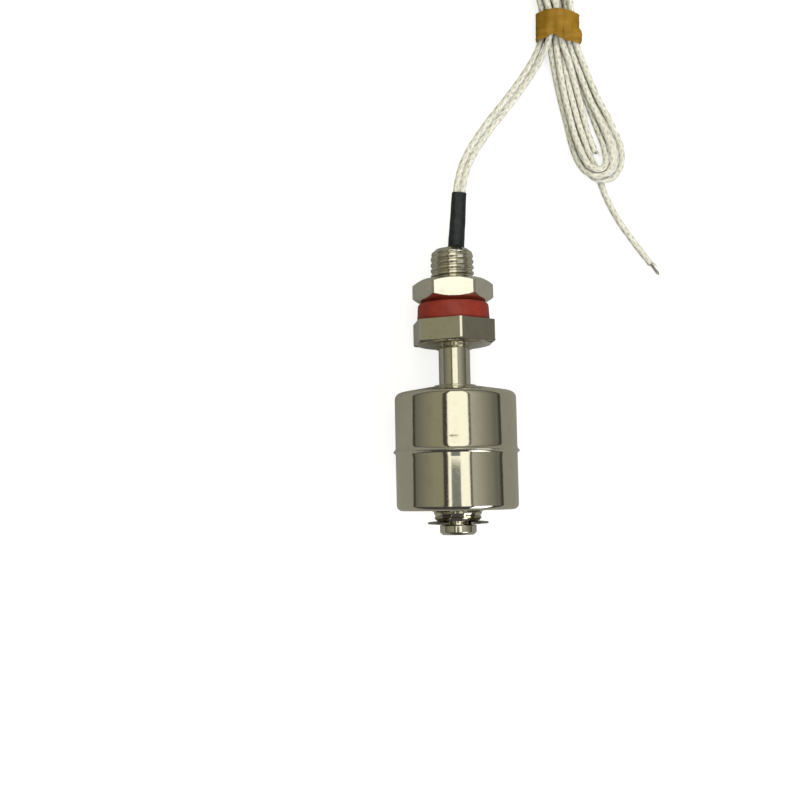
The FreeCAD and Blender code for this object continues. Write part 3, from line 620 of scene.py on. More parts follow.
@dataclass(frozen=True)
class Rounding:
    """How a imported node's copy is cut and how its sharp edges are rounded, in millimetres and degrees."""

    width: float
    steps: int = 3
    sharp_above: float = 25.0
    upright_width: float = 0.0
    upright_steps: int = 3
    upright_above: float = 40.0
    upright_shortest: float = 2.0
    cut_above: float | None = None
    cut_below: float | None = None
    flat_below: float = 0.6
    smooth_below: float = 30.0

    def apply(self, node_name: str, name: str) -> Piece:
        """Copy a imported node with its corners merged, its flats joined and its sharp edges rounded.

        Args:
            node_name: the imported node.
            name: the new piece's name.

        Returns:
            The piece, where the node is.
        """
        piece = bpy.data.objects.new(name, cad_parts[node_name].data.copy())
        piece.data.name = name
        bpy.context.scene.collection.objects.link(piece)
        choose(piece)
        bpy.ops.object.mode_set(mode="EDIT")
        bpy.ops.mesh.select_all(action="SELECT")
        bpy.ops.mesh.customdata_custom_splitnormals_clear()
        bpy.ops.mesh.remove_doubles(threshold=NODE_SEAM)
        bpy.ops.mesh.dissolve_limited(angle_limit=math.radians(self.flat_below))
        for height, side in ((self.cut_above, 1), (self.cut_below, -1)):
            if height is not None:
                bpy.ops.mesh.select_all(action="SELECT")
                upward = AXIS.matrix().to_3x3() @ Vector((0, 0, side))
                level = AXIS.matrix() @ Vector((0, 0, height * MM))
                bpy.ops.mesh.bisect(plane_co=level, plane_no=upward, use_fill=True, clear_outer=True)
        if self.upright_width:
            self.round_upright(piece)
        bpy.ops.mesh.select_mode(type="EDGE")
        bpy.ops.mesh.select_all(action="DESELECT")
        bpy.ops.mesh.edges_select_sharp(sharpness=math.radians(self.sharp_above))
        bpy.ops.mesh.bevel(offset=self.width * MM, segments=self.steps, affect="EDGES", clamp_overlap=True)
        bpy.ops.mesh.select_mode(type="VERT")
        bpy.ops.object.mode_set(mode="OBJECT")
        bpy.ops.object.shade_smooth_by_angle(angle=math.radians(self.smooth_below))
        even = piece.modifiers.new("even", "WEIGHTED_NORMAL")
        even.keep_sharp, even.weight = True, 90
        bpy.ops.object.modifier_apply(modifier=even.name)
        return piece

    def round_upright(self, piece: Piece) -> None:
        """Round the long edges that run along the axis, such as a hexagon's corners.

        Args:
            piece: the laid-down piece, in edit mode.
        """
        upward = AXIS.matrix().to_3x3() @ Vector((0, 0, 1))
        bpy.ops.mesh.select_mode(type="EDGE")
        bpy.ops.mesh.select_all(action="DESELECT")
        bpy.ops.mesh.edges_select_sharp(sharpness=math.radians(self.upright_above))
        bpy.ops.object.mode_set(mode="OBJECT")
        corners = piece.data.vertices
        for edge in piece.data.edges:
            run = corners[edge.vertices[1]].co - corners[edge.vertices[0]].co
            upright = abs(run.normalized().dot(upward)) > 0.99
            edge.select = edge.select and upright and run.length > self.upright_shortest * MM
        bpy.ops.object.mode_set(mode="EDIT")
        bpy.ops.mesh.bevel(offset=self.upright_width * MM, segments=self.upright_steps, affect="EDGES")


def smooth_noise(x: float, y: float, z: float = 0.0) -> float:
    """Return a smooth repeatable noise between -1 and 1."""
    return noise.noise(Vector((x, y, z)))


def along(table: Sequence[Corner], x: float) -> float:
    """Read a table whose corners are joined by straight lines.

    Args:
        table: (x, value) corners, in order of x.
        x: where to read it.

    Returns:
        The value there, or that of the nearest end.
    """
    if x <= table[0][0]:
        return table[0][1]
    for (x0, y0), (x1, y1) in zip(table, table[1:]):
        if x <= x1:
            return y0 + (y1 - y0) * (x - x0) / (x1 - x0)
    return table[-1][1]


def moved(profile: Sequence[Corner], radius: float, height: float) -> list[Corner]:
    """Return a profile's corners, which are given from a corner of the piece, at their place on the piece."""
    return [(radius + across, height + up) for across, up in profile]


def thicken(piece: Piece, wall_mm: float) -> None:
    """Give a sheet a wall on its outer side.

    Args:
        piece: the sheet.
        wall_mm: the wall's thickness in millimetres.
    """
    choose(piece)
    wall = piece.modifiers.new("wall", "SOLIDIFY")
    wall.thickness = wall_mm * MM
    wall.offset = 1.0
    bpy.ops.object.modifier_apply(modifier=wall.name)
    bpy.ops.object.shade_smooth_by_angle(angle=math.radians(40))


def join(pieces: Sequence[Piece], name: str) -> Piece:
    """Join several pieces into one.

    Args:
        pieces: what is joined.
        name: the joined piece's name.

    Returns:
        The joined piece.
    """
    choose(pieces[0])
    for piece in pieces:
        piece.select_set(True)
    bpy.ops.object.join()
    pieces[0].name = pieces[0].data.name = name
    return pieces[0]


@dataclass
class Fitting:
    """The hexagon body, the turned shoulder under it and its threaded stud."""

    finishes: Finishes
    hexagon_bottom: float = 42.3
    hexagon_top: float = 47.3
    hexagon_trim: float = 0.02
    hexagon_rounding: float = 0.1
    corner_rounding: float = 0.3
    shoulder_outline: tuple = ((3.52, 42.6), (8.36, 42.6), (8.36, 42.25), (8.2, 42.1), (7.4, 41.9), (6.4, 41.74),
                               (5.5, 41.62), (4.9, 41.52), (4.5, 41.4), (4.25, 41.28), (4.1, 41.2), (3.52, 41.2))
    stud_top: float = 63.7
    stud_sunk: float = 0.5
    crest: float = 4.84
    root: float = 4.48
    pitch: float = 1.3
    phase: float = 0.68
    flank: float = 1.25
    end_rounding: float = 3.2
    end_shrink: float = 0.5
    chamfer_height: float = 0.75
    chamfer_start: float = 0.35
    chamfer_slope: float = 1.2

    def thread_place(self, angle: float, share: float) -> Vector:
        """Place a corner of the thread, whose last turns shrink towards the stud's end.

        Args:
            angle: the corner's angle about the axis.
            share: its share of the way up the stud.

        Returns:
            Its place on the upright stud.
        """
        low = self.hexagon_top - self.stud_sunk
        height = low + (self.stud_top - low) * share
        turn = (height / self.pitch - angle / FULL_TURN + self.phase) % 1.0
        tooth = 0.5 - 0.5 * math.cos(FULL_TURN * turn)
        radius = self.root + (self.crest - self.root) * min(1.0, tooth * self.flank)
        below = self.stud_top - height
        limit = self.crest - self.end_shrink * max(0.0, 1 - below / self.end_rounding) ** 2
        if below < self.chamfer_height:
            chamfer = self.crest - self.chamfer_start - (self.chamfer_height - below) * self.chamfer_slope
            limit = min(limit, chamfer)
        radius = min(radius, limit)
        return Vector((radius * math.cos(angle), radius * math.sin(angle), height)) * MM

    def build(self) -> list[Piece]:
        """Build the three pieces and dress them.

        Returns:
            The pieces.
        """
        hexagon = Rounding(self.hexagon_rounding, upright_width=self.corner_rounding, upright_steps=1,
                           cut_above=self.hexagon_top - self.hexagon_trim,
                           cut_below=self.hexagon_bottom + self.hexagon_trim)
        hexagon = hexagon.apply("threaded_fitting", "hexagon_body")
        shoulder = lathe("turned_shoulder", self.shoulder_outline)
        lay_down(shoulder)
        self.finishes.dress(shoulder, "stainless_satin")
        stud = shaped_tube("threaded_stud", 96, 216, self.thread_place, True)
        tidy_mesh(stud, 50)
        lay_down(stud)
        self.finishes.dress(hexagon, "stainless_satin")
        self.finishes.dress(stud, "stainless_satin", "thread_rolled")
        for piece in (hexagon, shoulder, stud):
            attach(piece, Body.SWITCH.value)
        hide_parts("threaded_fitting")
        return [hexagon, shoulder, stud]


@dataclass
class NutAndSeal:
    """The lock nut and the red seal under it. Profiles are (across, up) from the corner that they are named for."""

    finishes: Finishes
    seal_bottom: float = 47.32
    seal_top: float = 51.3
    seal_radius: float = 8.0
    seal_bore: float = 4.95
    seal_from_bottom: tuple = ((-0.4, 0.0), (-0.05, 0.15), (0.1, 0.5), (0.1, 0.9), (0.02, 1.6), (0.0, 2.3),
                               (-0.03, 3.0))
    seal_to_top: tuple = ((-0.1, -0.4), (-0.25, -0.12), (-0.5, 0.0))
    nut_bottom: float = 51.35
    nut_top: float = 56.55
    nut_flat: float = 8.0
    nut_corner: float = 9.06
    nut_turn: float = math.radians(-1.0)
    nut_bore: float = 4.95
    bore_chamfer: float = 0.4
    lower_face: float = 6.8
    lower_land: float = 6.9
    lower_chamfer: float = 1.25
    lower_rows: int = 16
    upper_face: float = 7.3
    upper_land: float = 7.4
    upper_chamfer: float = 0.95
    upper_rows: int = 12
    land: float = 0.05

    def nut_outline(self) -> list[Corner]:
        """Give the nut's turned outline: chamfered at both ends, in rows fine enough to bear its flats.

        Returns:
            Its corners.
        """
        low, high, corner = self.nut_bottom, self.nut_top, self.nut_corner
        below = [(self.lower_land + (corner - self.lower_land) * row / self.lower_rows,
                  low + self.land + self.lower_chamfer * row / self.lower_rows) for row in range(self.lower_rows + 1)]
        above = [(corner - (corner - self.upper_land) * row / self.upper_rows,
                  high - self.land - self.upper_chamfer * (1 - row / self.upper_rows))
                 for row in range(self.upper_rows + 1)]
        return [(self.nut_bore, low + self.bore_chamfer), (self.nut_bore + self.bore_chamfer, low),
                (self.lower_face, low), *below, *above, (self.upper_face, high),
                (self.nut_bore + self.bore_chamfer, high), (self.nut_bore, high - self.bore_chamfer)]

    def build_nut(self) -> Piece:
        """Spin the nut's outline and flatten it to its six flats.

        Returns:
            The nut.
        """
        nut = lathe("lock_nut_turned", self.nut_outline(), 360)
        for vertex in nut.data.vertices:
            angle = math.atan2(vertex.co.y, vertex.co.x) + math.pi / 2 - self.nut_turn
            across = (angle + math.pi / 6) % (math.pi / 3) - math.pi / 6
            shrink = min(1.0, self.nut_flat * MM / math.cos(across) / math.hypot(vertex.co.x, vertex.co.y))
            vertex.co.x, vertex.co.y = vertex.co.x * shrink, vertex.co.y * shrink
        tidy_mesh(nut, 20)
        lay_down(nut)
        return nut

    def build(self) -> list[Piece]:
        """Build both pieces and dress them.

        Returns:
            The pieces.
        """
        nut = self.build_nut()
        self.finishes.dress(nut, "nickel_nut")
        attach(nut, Body.NUT.value)
        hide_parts("lock_nut")
        outline = [(self.seal_bore, self.seal_bottom),
                   *moved(self.seal_from_bottom, self.seal_radius, self.seal_bottom),
                   *moved(self.seal_to_top, self.seal_radius, self.seal_top), (self.seal_bore, self.seal_top)]
        seal = lathe("seal_ring", outline, 128)
        lay_down(seal)
        self.finishes.dress(seal, "red_seal")
        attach(seal, Body.SWITCH.value)
        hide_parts("seal_washer")
        return [nut, seal]


@dataclass
class Float:
    """The float's two drawn shells, which meet in a rippled weld, and its inner tube with the ring below.

    Profiles are (across, up) in millimetres: those of the rim and the flare from the seam, those of the ring from
    its own radius at its bottom and at the float's, and the neck and the lip from the axis at the float's top.
    """

    finishes: Finishes
    radius: float = 13.5
    wall: float = 0.5
    bottom: float = 5.4
    seam: float = 18.25
    shoulder: float = 31.3
    top: float = 32.6
    hole: float = 4.72
    base_rounding: float = 1.3
    shoulder_rounding: float = 1.5
    cone_foot: float = 5.9
    rim_reach: float = 0.5
    fold: float = 0.42
    fold_start: float = 0.1
    rim_below: tuple = ((-0.22, -0.16), (-0.1, -0.08), (-0.03, 0.0))
    rim_above: tuple = ((-0.03, 0.0), (0.0, 0.06), (-0.01, 0.13), (-0.08, 0.24))
    flare: tuple = ((0.27, 0.4), (0.13, 0.58), (0.04, 0.76), (0.0, 0.98), (0.0, 1.5))
    straight_below: float = 1.4
    neck: tuple = ((6.9, -0.14), (6.2, -0.05), (5.6, 0.03), (5.1, 0.09))
    bore: float = 4.3
    tube_radius: float = 4.69
    ring_bottom: float = 3.15
    ring_radius: float = 5.35
    ring_grooves: tuple = ((-0.65, 0.0), (-0.3, 0.34), (-0.16, 0.5), (-0.12, 0.62), (-0.16, 0.7), (-0.35, 0.97),
                           (-0.36, 1.02), (-0.05, 1.6), (-0.03, 1.7), (-0.1, 1.8))
    ring_top: tuple = ((0.4, -0.04), (0.42, 0.02))
    lip_middle: Corner = (4.46, 0.16)
    lip_radius: float = 0.31
    ripples: int = 150
    ripple_depth: float = 0.016
    weld_depth: float = 0.05
    weld_rise: float = 0.035
    dent_depth: float = 0.014

    def lower_outline(self) -> list[Corner]:
        """Give the lower shell's outline: base, rounding, wall, flare and rim, and back inside.

        Returns:
            Its corners.
        """
        out, low, inner = self.radius, self.bottom, self.radius - self.wall
        rounding = self.base_rounding
        return [(self.hole, low), *arc((out - rounding, low + rounding), rounding, -90, 0, 10),
                (out, self.seam - self.straight_below), (out, self.seam - self.fold - self.fold_start),
                (out + 0.03, self.seam - self.fold), *moved(self.rim_below, out + self.rim_reach, self.seam),
                (inner, self.seam), (inner, low + self.wall + 0.5), (inner - 0.5, low + self.wall),
                (self.hole, low + self.wall)]

    def upper_outline(self) -> list[Corner]:
        """Give the upper shell's outline: rim, flare, wall, shoulder, cone and drawn neck, and back inside.

        Returns:
            Its corners.
        """
        out, inner, rounding = self.radius, self.radius - self.wall, self.shoulder_rounding
        slope = math.atan2(self.top - self.shoulder, out - self.cone_foot)
        middle = (out - rounding, self.shoulder - rounding * math.tan((math.pi / 2 - slope) / 2))
        shoulder = arc(middle, rounding, 0, 90 - math.degrees(slope), 10)
        return [*moved(self.rim_above, out + self.rim_reach, self.seam), *moved(self.flare, out, self.seam),
                *shoulder, *moved(self.neck, 0.0, self.top), (self.hole, self.top + 0.08),
                (self.hole, self.top - 0.4), (inner - 1.0, self.shoulder - 0.4), (inner, self.shoulder - 1.4),
                (inner, self.seam)]

    def tube_outline(self) -> list[Corner]:
        """Give the inner tube's outline: ring under the float, tube, and the lip curled in round the stem.

        Returns:
            Its corners.
        """
        lip = arc((self.lip_middle[0], self.top + self.lip_middle[1]), self.lip_radius, -35, 180, 12)
        return [(self.bore, self.ring_bottom), *moved(self.ring_grooves, self.ring_radius, self.ring_bottom),
                *moved(self.ring_top, self.ring_radius, self.bottom),
                (self.tube_radius, self.bottom + 0.02), (self.tube_radius, self.top - 0.2), *lip,
                (self.bore - 0.15, self.top - 0.5), (self.bore, self.top - 0.8)]

    def ripple(self, shell: Piece) -> None:
        """Ripple the rim as a weld is, and dent the wall by a few hundredths of a millimetre.

        Args:
            shell: the upright shell.
        """
        for vertex in shell.data.vertices:
            angle = math.atan2(vertex.co.y, vertex.co.x)
            radius, height = math.hypot(vertex.co.x, vertex.co.y) / MM, vertex.co.z / MM
            lift = self.dent_depth * smooth_noise(math.cos(angle) * 1.3, math.sin(angle) * 1.3, height * 0.12)
            if radius > self.radius + 0.1:
                lift += self.ripple_depth * math.cos(angle * self.ripples)
                lift += self.weld_depth * smooth_noise(angle * 9, 1.0)
                vertex.co.z += self.weld_rise * smooth_noise(angle * 6, 5.0) * MM
            if radius > self.radius - 0.1:
                vertex.co.x *= 1 + lift / radius
                vertex.co.y *= 1 + lift / radius

    def build(self) -> list[Piece]:
        """Build the three pieces and dress them.

        Returns:
            The pieces.
        """
        made = []
        for node, name, outline, steps in (
                ("float_lower_shell", "float_lower_drawn", self.lower_outline(), 450),
                ("float_upper_shell", "float_upper_drawn", self.upper_outline(), 450),
                ("float_inner_tube", "float_tube_curled", self.tube_outline(), 160)):
            piece = lathe(name, outline, steps)
            if node != "float_inner_tube":
                self.ripple(piece)
            lay_down(piece)
            self.finishes.dress(piece, "stainless_polished")
            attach(piece, Body.FLOAT.value)
            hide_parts(node)
            made.append(piece)
        return made


@dataclass
class StemEnd:
    """The stem's end plug and the clip in its groove."""

    finishes: Finishes
    plug_rounding: float = 0.16
    clip_rounding: float = 0.24
    clip_level: float = 2.65
    wing_start: float = 4.6
    wing_length: float = 2.6
    wing_thinning: float = 0.62

    def build(self) -> list[Piece]:
        """Build both pieces and dress them.

        Returns:
            The pieces.
        """
        plug = Rounding(self.plug_rounding).apply("stem_end_plug", "stem_plug_rounded")
        clip = Rounding(self.clip_rounding).apply("retaining_clip", "clip_rounded")
        self.finishes.dress(plug, "stainless_polished")
        self.finishes.dress(clip, "spring_steel")
        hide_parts("stem_end_plug")
        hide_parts("retaining_clip")
        self.thin_wings(clip)
        for piece in (plug, clip):
            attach(piece, Body.SWITCH.value)
        return [plug, clip]

    def thin_wings(self, clip: Piece) -> None:
        """Thin the clip towards its rim, as a stamped spring part is.

        Args:
            clip: the laid-down clip.
        """
        upright, laid = AXIS.matrix().inverted(), AXIS.matrix()
        for vertex in clip.data.vertices:
            place = upright @ vertex.co
            reach = math.hypot(place.x, place.y) / MM
            share = 1 - self.wing_thinning * min(1.0, max(0.0, (reach - self.wing_start) / self.wing_length))
            place.z = (self.clip_level + (place.z / MM - self.clip_level) * share) * MM
            vertex.co = laid @ place


@dataclass
class WireOutlet:
    """The potting at the stud's mouth and the black sleeve round both wires.

    The potting's tables give its rise over the mouth and its reach by the share of the way up its skin.
    """

    finishes: Finishes
    stud_top: float = 63.7
    sleeve_bottom: float = 60.7
    sleeve_length: float = 16.0
    sleeve_offset: float = 0.7
    lean: float = math.radians(4.5)
    base_radius: float = 1.9
    end_radius: float = 1.66
    end_depth: float = 1.3
    wall: float = 0.25
    mouth: float = 1.3
    pinch_depth: float = 0.16
    pinch_width: float = 0.55
    waves: float = 0.05
    rise: tuple = ((0, -1.0), (0.2, -1.0), (0.35, -0.1), (0.5, 0.12), (0.7, 0.45), (0.85, 0.9), (1, 1.3))
    reach: tuple = ((0, 0.1), (0.2, 3.0), (0.35, 3.05), (0.5, 2.7), (0.7, 2.3), (0.85, 2.0), (1, 1.2))
    crown_start: float = 0.4
    crown_offset: float = 0.35
    lumps: float = 0.14
    drip_angle: float = -1.2
    drip_width: float = 0.08
    drip_length: float = 0.12
    drip_reach: float = 1.75
    drip_fall: float = 1.1

    def sleeve_place(self, angle: float, share: float) -> Vector:
        """Place a corner of the sleeve: up its outside, over the rim and down its mouth.

        Args:
            angle: the corner's angle about the sleeve.
            share: its share of the way along the skin.

        Returns:
            Its place, upright.
        """
        outer = min(1.0, share / 0.9)
        inner = max(0.0, (share - 0.93) / 0.07)
        across = self.base_radius + (self.end_radius - self.base_radius) * outer
        depth = self.base_radius + (self.end_depth - self.base_radius) * outer
        shrunk = self.wall if share > 0.92 else 0.0
        pinch = 1 - self.pinch_depth * outer * math.exp(-(across * math.cos(angle) / self.pinch_width) ** 2)
        ripple = self.waves * smooth_noise(math.cos(angle) * 1.5, math.sin(angle) * 1.5, outer * 7)
        x = (across - shrunk + ripple) * math.cos(angle)
        y = (depth - shrunk + ripple) * pinch * math.sin(angle)
        length = self.sleeve_length * outer - self.mouth * inner
        foot = Vector((self.sleeve_offset, 0, self.sleeve_bottom))
        side = Vector((math.cos(self.lean), 0, -math.sin(self.lean)))
        upward = Vector((math.sin(self.lean), 0, math.cos(self.lean)))
        return (foot + side * x + Vector((0, y, 0)) + upward * length) * MM

    def potting_place(self, angle: float, share: float) -> Vector:
        """Place a corner of the potting: out at the bottom, up its side and in over its crown.

        Args:
            angle: the corner's angle about the axis.
            share: its share of the way along the skin.

        Returns:
            Its place, upright.
        """
        rise, reach = along(self.rise, share), along(self.reach, share)
        lump = smooth_noise(math.cos(angle) * 1.4, math.sin(angle) * 1.4, share * 3)
        lump *= self.lumps * min(1.0, share * 2)
        drip = math.exp(-((angle - self.drip_angle) / self.drip_width) ** 2)
        drip *= math.exp(-((share - self.crown_start) / self.drip_length) ** 2)
        if share > self.crown_start:
            rise *= 0.7 + 0.3 * math.cos(angle)
        reach += self.drip_reach * drip ** 0.4 + lump
        offset = self.crown_offset + self.sleeve_offset * 0.5 * max(0.0, share - 0.35)
        height = self.stud_top + rise + lump - self.drip_fall * drip
        return Vector((reach * math.cos(angle) + offset, reach * math.sin(angle), height)) * MM

    def build(self) -> list[Piece]:
        """Build both pieces and dress them.

        Returns:
            The pieces.
        """
        sleeve = shaped_tube("sleeve_shrunk", 72, 100, self.sleeve_place, True)
        potting = shaped_tube("potting_dome", 96, 60, self.potting_place, True)
        for piece, slot, node in ((sleeve, "black_sleeve", "shrink_sleeve"), (potting, "black_potting", "potting")):
            tidy_mesh(piece, 50)
            lay_down(piece)
            self.finishes.dress(piece, slot)
            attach(piece, Body.SWITCH.value)
            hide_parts(node)
        return [sleeve, potting]


@dataclass
class TapeTie:
    """The ochre tape round the hank, with its own end stuck down at the front.

    The edges are tables of where the tape ends along the part, by the place across it. The end's angles, low edge
    and high edge are each a start and what is added over its breadth.
    """

    finishes: Finishes
    centre_x: float = 24.37
    centre_z: float = 2.8
    half_width: float = 4.56
    half_height: float = 2.9
    under_height: float = 2.5
    wall: float = 0.27
    end_wall: float = 0.16
    top_edge: tuple = ((19.4, 82.5), (20.0, 82.8), (21.3, 83.2), (23.4, 83.45), (25.6, 83.3), (28.3, 82.5),
                       (29.2, 82.2))
    low_edge: tuple = ((19.5, 76.85), (21.5, 77.3), (22.7, 78.0), (23.65, 77.85), (24.0, 77.35), (26.8, 76.6),
                       (29.2, 76.4))
    under_edges: Span = (76.8, 82.8)
    ridge_height: float = 0.12
    ridge_spacing: float = 2.3
    ridge_middle: Corner = (24.3, 80.0)
    ridge_lean: float = 0.04
    crease_depth: float = 0.08
    lowest: float = 0.05
    end_angles: Span = (-40.0, 118.0)
    end_low: Span = (75.8, 0.75)
    end_high: Span = (79.0, 0.5)
    bulge: float = 0.5
    bulge_angle: float = 4.0
    bulge_width: float = 26.0

    def skin(self, angle: float, y: float, out: float) -> Vector:
        """Find a point of the tape's skin, which shows the wires under it as soft ridges.

        Args:
            angle: the point's angle round the hank.
            y: its place along the part in millimetres.
            out: how far it stands off the wrap.

        Returns:
            The point.
        """
        side = math.cos(angle)
        x = self.centre_x + self.half_width * side
        ridge = math.cos((x - self.ridge_middle[0] - self.ridge_lean * (y - self.ridge_middle[1])) * FULL_TURN
                         / self.ridge_spacing)
        crease = self.crease_depth * smooth_noise(x * 0.5, y * 1.7, math.sin(angle))
        lift = out + self.ridge_height * ridge * max(0.0, math.sin(angle)) + crease
        height = self.half_height if math.sin(angle) > 0 else self.under_height
        z = max(self.lowest, self.centre_z + (height + lift) * math.sin(angle))
        return Vector((x + lift * side, y, z)) * MM

    def wrap_place(self, angle: float, share: float) -> Vector:
        """Place a corner of the wrap, whose front edges are uneven.

        Args:
            angle: the corner's angle round the hank.
            share: its share of the way from the low edge to the top edge.

        Returns:
            Its place.
        """
        low, high = self.under_edges
        if math.sin(angle) > -0.2:
            x = self.centre_x + self.half_width * math.cos(angle)
            low, high = along(self.low_edge, x), along(self.top_edge, x)
        return self.skin(angle, low + (high - low) * share, 0.0)

    def build_end(self) -> Piece:
        """Build the tape's free end, which bulges out over the lower right of the wrap.

        Returns:
            The free end, as a sheet.
        """
        bpy.ops.object.select_all(action="DESELECT")
        bpy.ops.mesh.primitive_grid_add(x_subdivisions=36, y_subdivisions=16, size=2)
        flap = named("tape_end")
        for vertex in flap.data.vertices:
            back_share, along_share = 1 - (vertex.co.x + 1) / 2, (vertex.co.y + 1) / 2
            degrees = self.end_angles[0] + self.end_angles[1] * back_share
            bulge = self.bulge * math.exp(-((degrees - self.bulge_angle) / self.bulge_width) ** 2)
            bulge *= math.sin(math.pi * along_share) ** 0.5
            low = self.end_low[0] + self.end_low[1] * back_share
            high = self.end_high[0] + self.end_high[1] * back_share
            vertex.co = self.skin(math.radians(degrees), low + (high - low) * along_share, self.wall + 0.02 + bulge)
        return flap

    def build(self) -> list[Piece]:
        """Build both pieces and dress them.

        Returns:
            The pieces.
        """
        wrap = shaped_tube("tape_wrap", 120, 28, self.wrap_place, False)
        flap = self.build_end()
        for piece, wall in ((wrap, self.wall), (flap, self.end_wall)):
            tidy_mesh(piece, 60)
            thicken(piece, wall)
            self.finishes.dress(piece, "ochre_tape")
            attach(piece, Body.SWITCH.value)
        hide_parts("hank_tie")
        return [wrap, flap]


@dataclass
class BraidedWire:
    """One wire: a tube along its route, lifted where the strands of its braid cross over."""

    finishes: Finishes
    name: str
    route: Sequence[Point]
    length: float
    replaced: tuple[str, ...]
    tip: tuple[Point, ...]
    tip_node: tuple[str, ...] = ()
    diameter: float = 1.4
    strands: int = 4
    plait: float = 1.2
    wander: float = 1.6
    lift: float = 0.05
    ring: float = 0.2
    around: int = 24
    core_radius: float = 0.29
    core_relief: float = 0.045
    core_strands: int = 6
    core_twist: float = 9.0
    core_close: float = 0.12
    fibres: int = 20
    fibre_spread: Span = (0.1, 0.9)
    fibre_reach: Span = (0.6, 1.8)
    fibre_radius: Span = (0.04, 0.07)
    fibre_root: float = 0.55

    def centre_line(self) -> list[Vector]:
        """Read the route's smooth curve.

        Returns:
            Evenly spaced points on it.
        """
        data = bpy.data.curves.new(self.name + "_route", "CURVE")
        data.dimensions = "3D"
        data.resolution_u = 24
        spline = data.splines.new("NURBS")
        spline.points.add(len(self.route) - 1)
        for point, place in zip(spline.points, self.route):
            point.co = (*place, 1.0)
        spline.order_u = 3
        spline.use_endpoint_u = True
        carrier = bpy.data.objects.new(data.name, data)
        line = bpy.data.meshes.new_from_object(carrier)
        dense = [vertex.co.copy() for vertex in line.vertices]
        bpy.data.objects.remove(carrier)
        bpy.data.curves.remove(data)
        bpy.data.meshes.remove(line)
        return self.spaced(dense)

    def spaced(self, dense: Sequence[Vector]) -> list[Vector]:
        """Space points evenly on a dense line.

        Args:
            dense: the line's points.

        Returns:
            Points a ring's length apart on it.
        """
        reach = [0.0]
        for before, after in zip(dense, dense[1:]):
            reach.append(reach[-1] + (after - before).length)
        count = round(reach[-1] / (self.ring * MM))
        found, index = [], 0
        for step in range(count + 1):
            want = reach[-1] * step / count
            while index < len(dense) - 2 and reach[index + 1] < want:
                index += 1
            share = (want - reach[index]) / max(reach[index + 1] - reach[index], 1e-12)
            found.append(dense[index].lerp(dense[index + 1], share))
        return found

    def braid_heights(self, index: int) -> list[float]:
        """Give the braid's height round one ring, from -1 in a hollow to 1 on a strand.

        Args:
            index: the ring's number along the wire.

        Returns:
            A height for each corner of the ring.
        """
        turn = FULL_TURN * index * self.ring / (self.plait * 2)
        left, right = (self.wander * smooth_noise(index * 0.05, self.length * 100 + way) for way in (1, 7))
        angles = [FULL_TURN * step / self.around for step in range(self.around)]
        return [max(math.cos(self.strands * angle + turn + left), math.cos(self.strands * angle - turn + right))
                for angle in angles]

    def build_tube(self, centres: Sequence[Vector]) -> Piece:
        """Build the braided tube, with its braid's height and a map in millimetres.

        Args:
            centres: points of its centre line.

        Returns:
            The tube.
        """
        count, around = len(centres), self.around
        corners, heights, tangent, side = [], [], centres[1] - centres[0], Vector((0, 0, 1))
        for index, centre in enumerate(centres):
            ahead = centres[min(index + 1, count - 1)] - centres[max(index - 1, 0)]
            side = tangent.rotation_difference(ahead) @ side
            tangent = ahead
            side = (side - tangent.normalized() * side.dot(tangent.normalized())).normalized()
            other = tangent.normalized().cross(side)
            for step, height in enumerate(self.braid_heights(index)):
                angle = FULL_TURN * step / around
                radius = (self.diameter / 2 - self.lift / 2 + self.lift * height) * MM
                corners.append(centre + (side * math.cos(angle) + other * math.sin(angle)) * radius)
                heights.append((height + 1) / 2)
        faces = []
        for first in range(0, (count - 1) * around, around):
            for step in range(around):
                after = (step + 1) % around
                faces.append((first + step, first + after, first + around + after, first + around + step))
        faces += [tuple(reversed(range(around))), tuple(range((count - 1) * around, count * around))]
        mesh = bpy.data.meshes.new(self.name)
        mesh.from_pydata(corners, [], faces)
        mesh.attributes.new("braid_height", "FLOAT", "POINT").data.foreach_set("value", heights)
        layer = mesh.uv_layers.new(name="along_braid")
        girth = math.pi * self.diameter / around
        for loop in mesh.loops:
            layer.data[loop.index].uv = (loop.vertex_index // around * self.ring, loop.vertex_index % around * girth)
        mesh.shade_smooth()
        tube = bpy.data.objects.new(self.name, mesh)
        bpy.context.scene.collection.objects.link(tube)
        return tube

    def build_tip(self) -> Piece:
        """Build the bare conductor: twisted strands that close up at the end.

        Returns:
            The conductor.
        """
        points = [Vector(point) / MM for point in self.tip]
        lengths = [(b - a).length for a, b in zip(points, points[1:])]

        def place(angle: float, share: float) -> Vector:
            """Place a corner of the twisted strands.

            Args:
                angle: the corner's angle round the conductor.
                share: its share of the way along it.

            Returns:
                Its place.
            """
            want, index = share * sum(lengths), 0
            while index < len(lengths) - 1 and want > lengths[index]:
                want, index = want - lengths[index], index + 1
            run = points[index + 1] - points[index]
            centre = points[index] + run * (want / lengths[index])
            side = run.cross(Vector((0, 0, 1))).normalized()
            other = side.cross(run).normalized()
            radius = self.core_radius + self.core_relief * math.cos(self.core_strands * angle + share * self.core_twist)
            radius -= self.core_close * max(0.0, share - 0.85) / 0.15
            return (centre + (side * math.cos(angle) + other * math.sin(angle)) * radius) * MM

        tip = shaped_tube(self.name + "_conductor", 48, 40, place, True)
        tidy_mesh(tip, 50)
        return tip

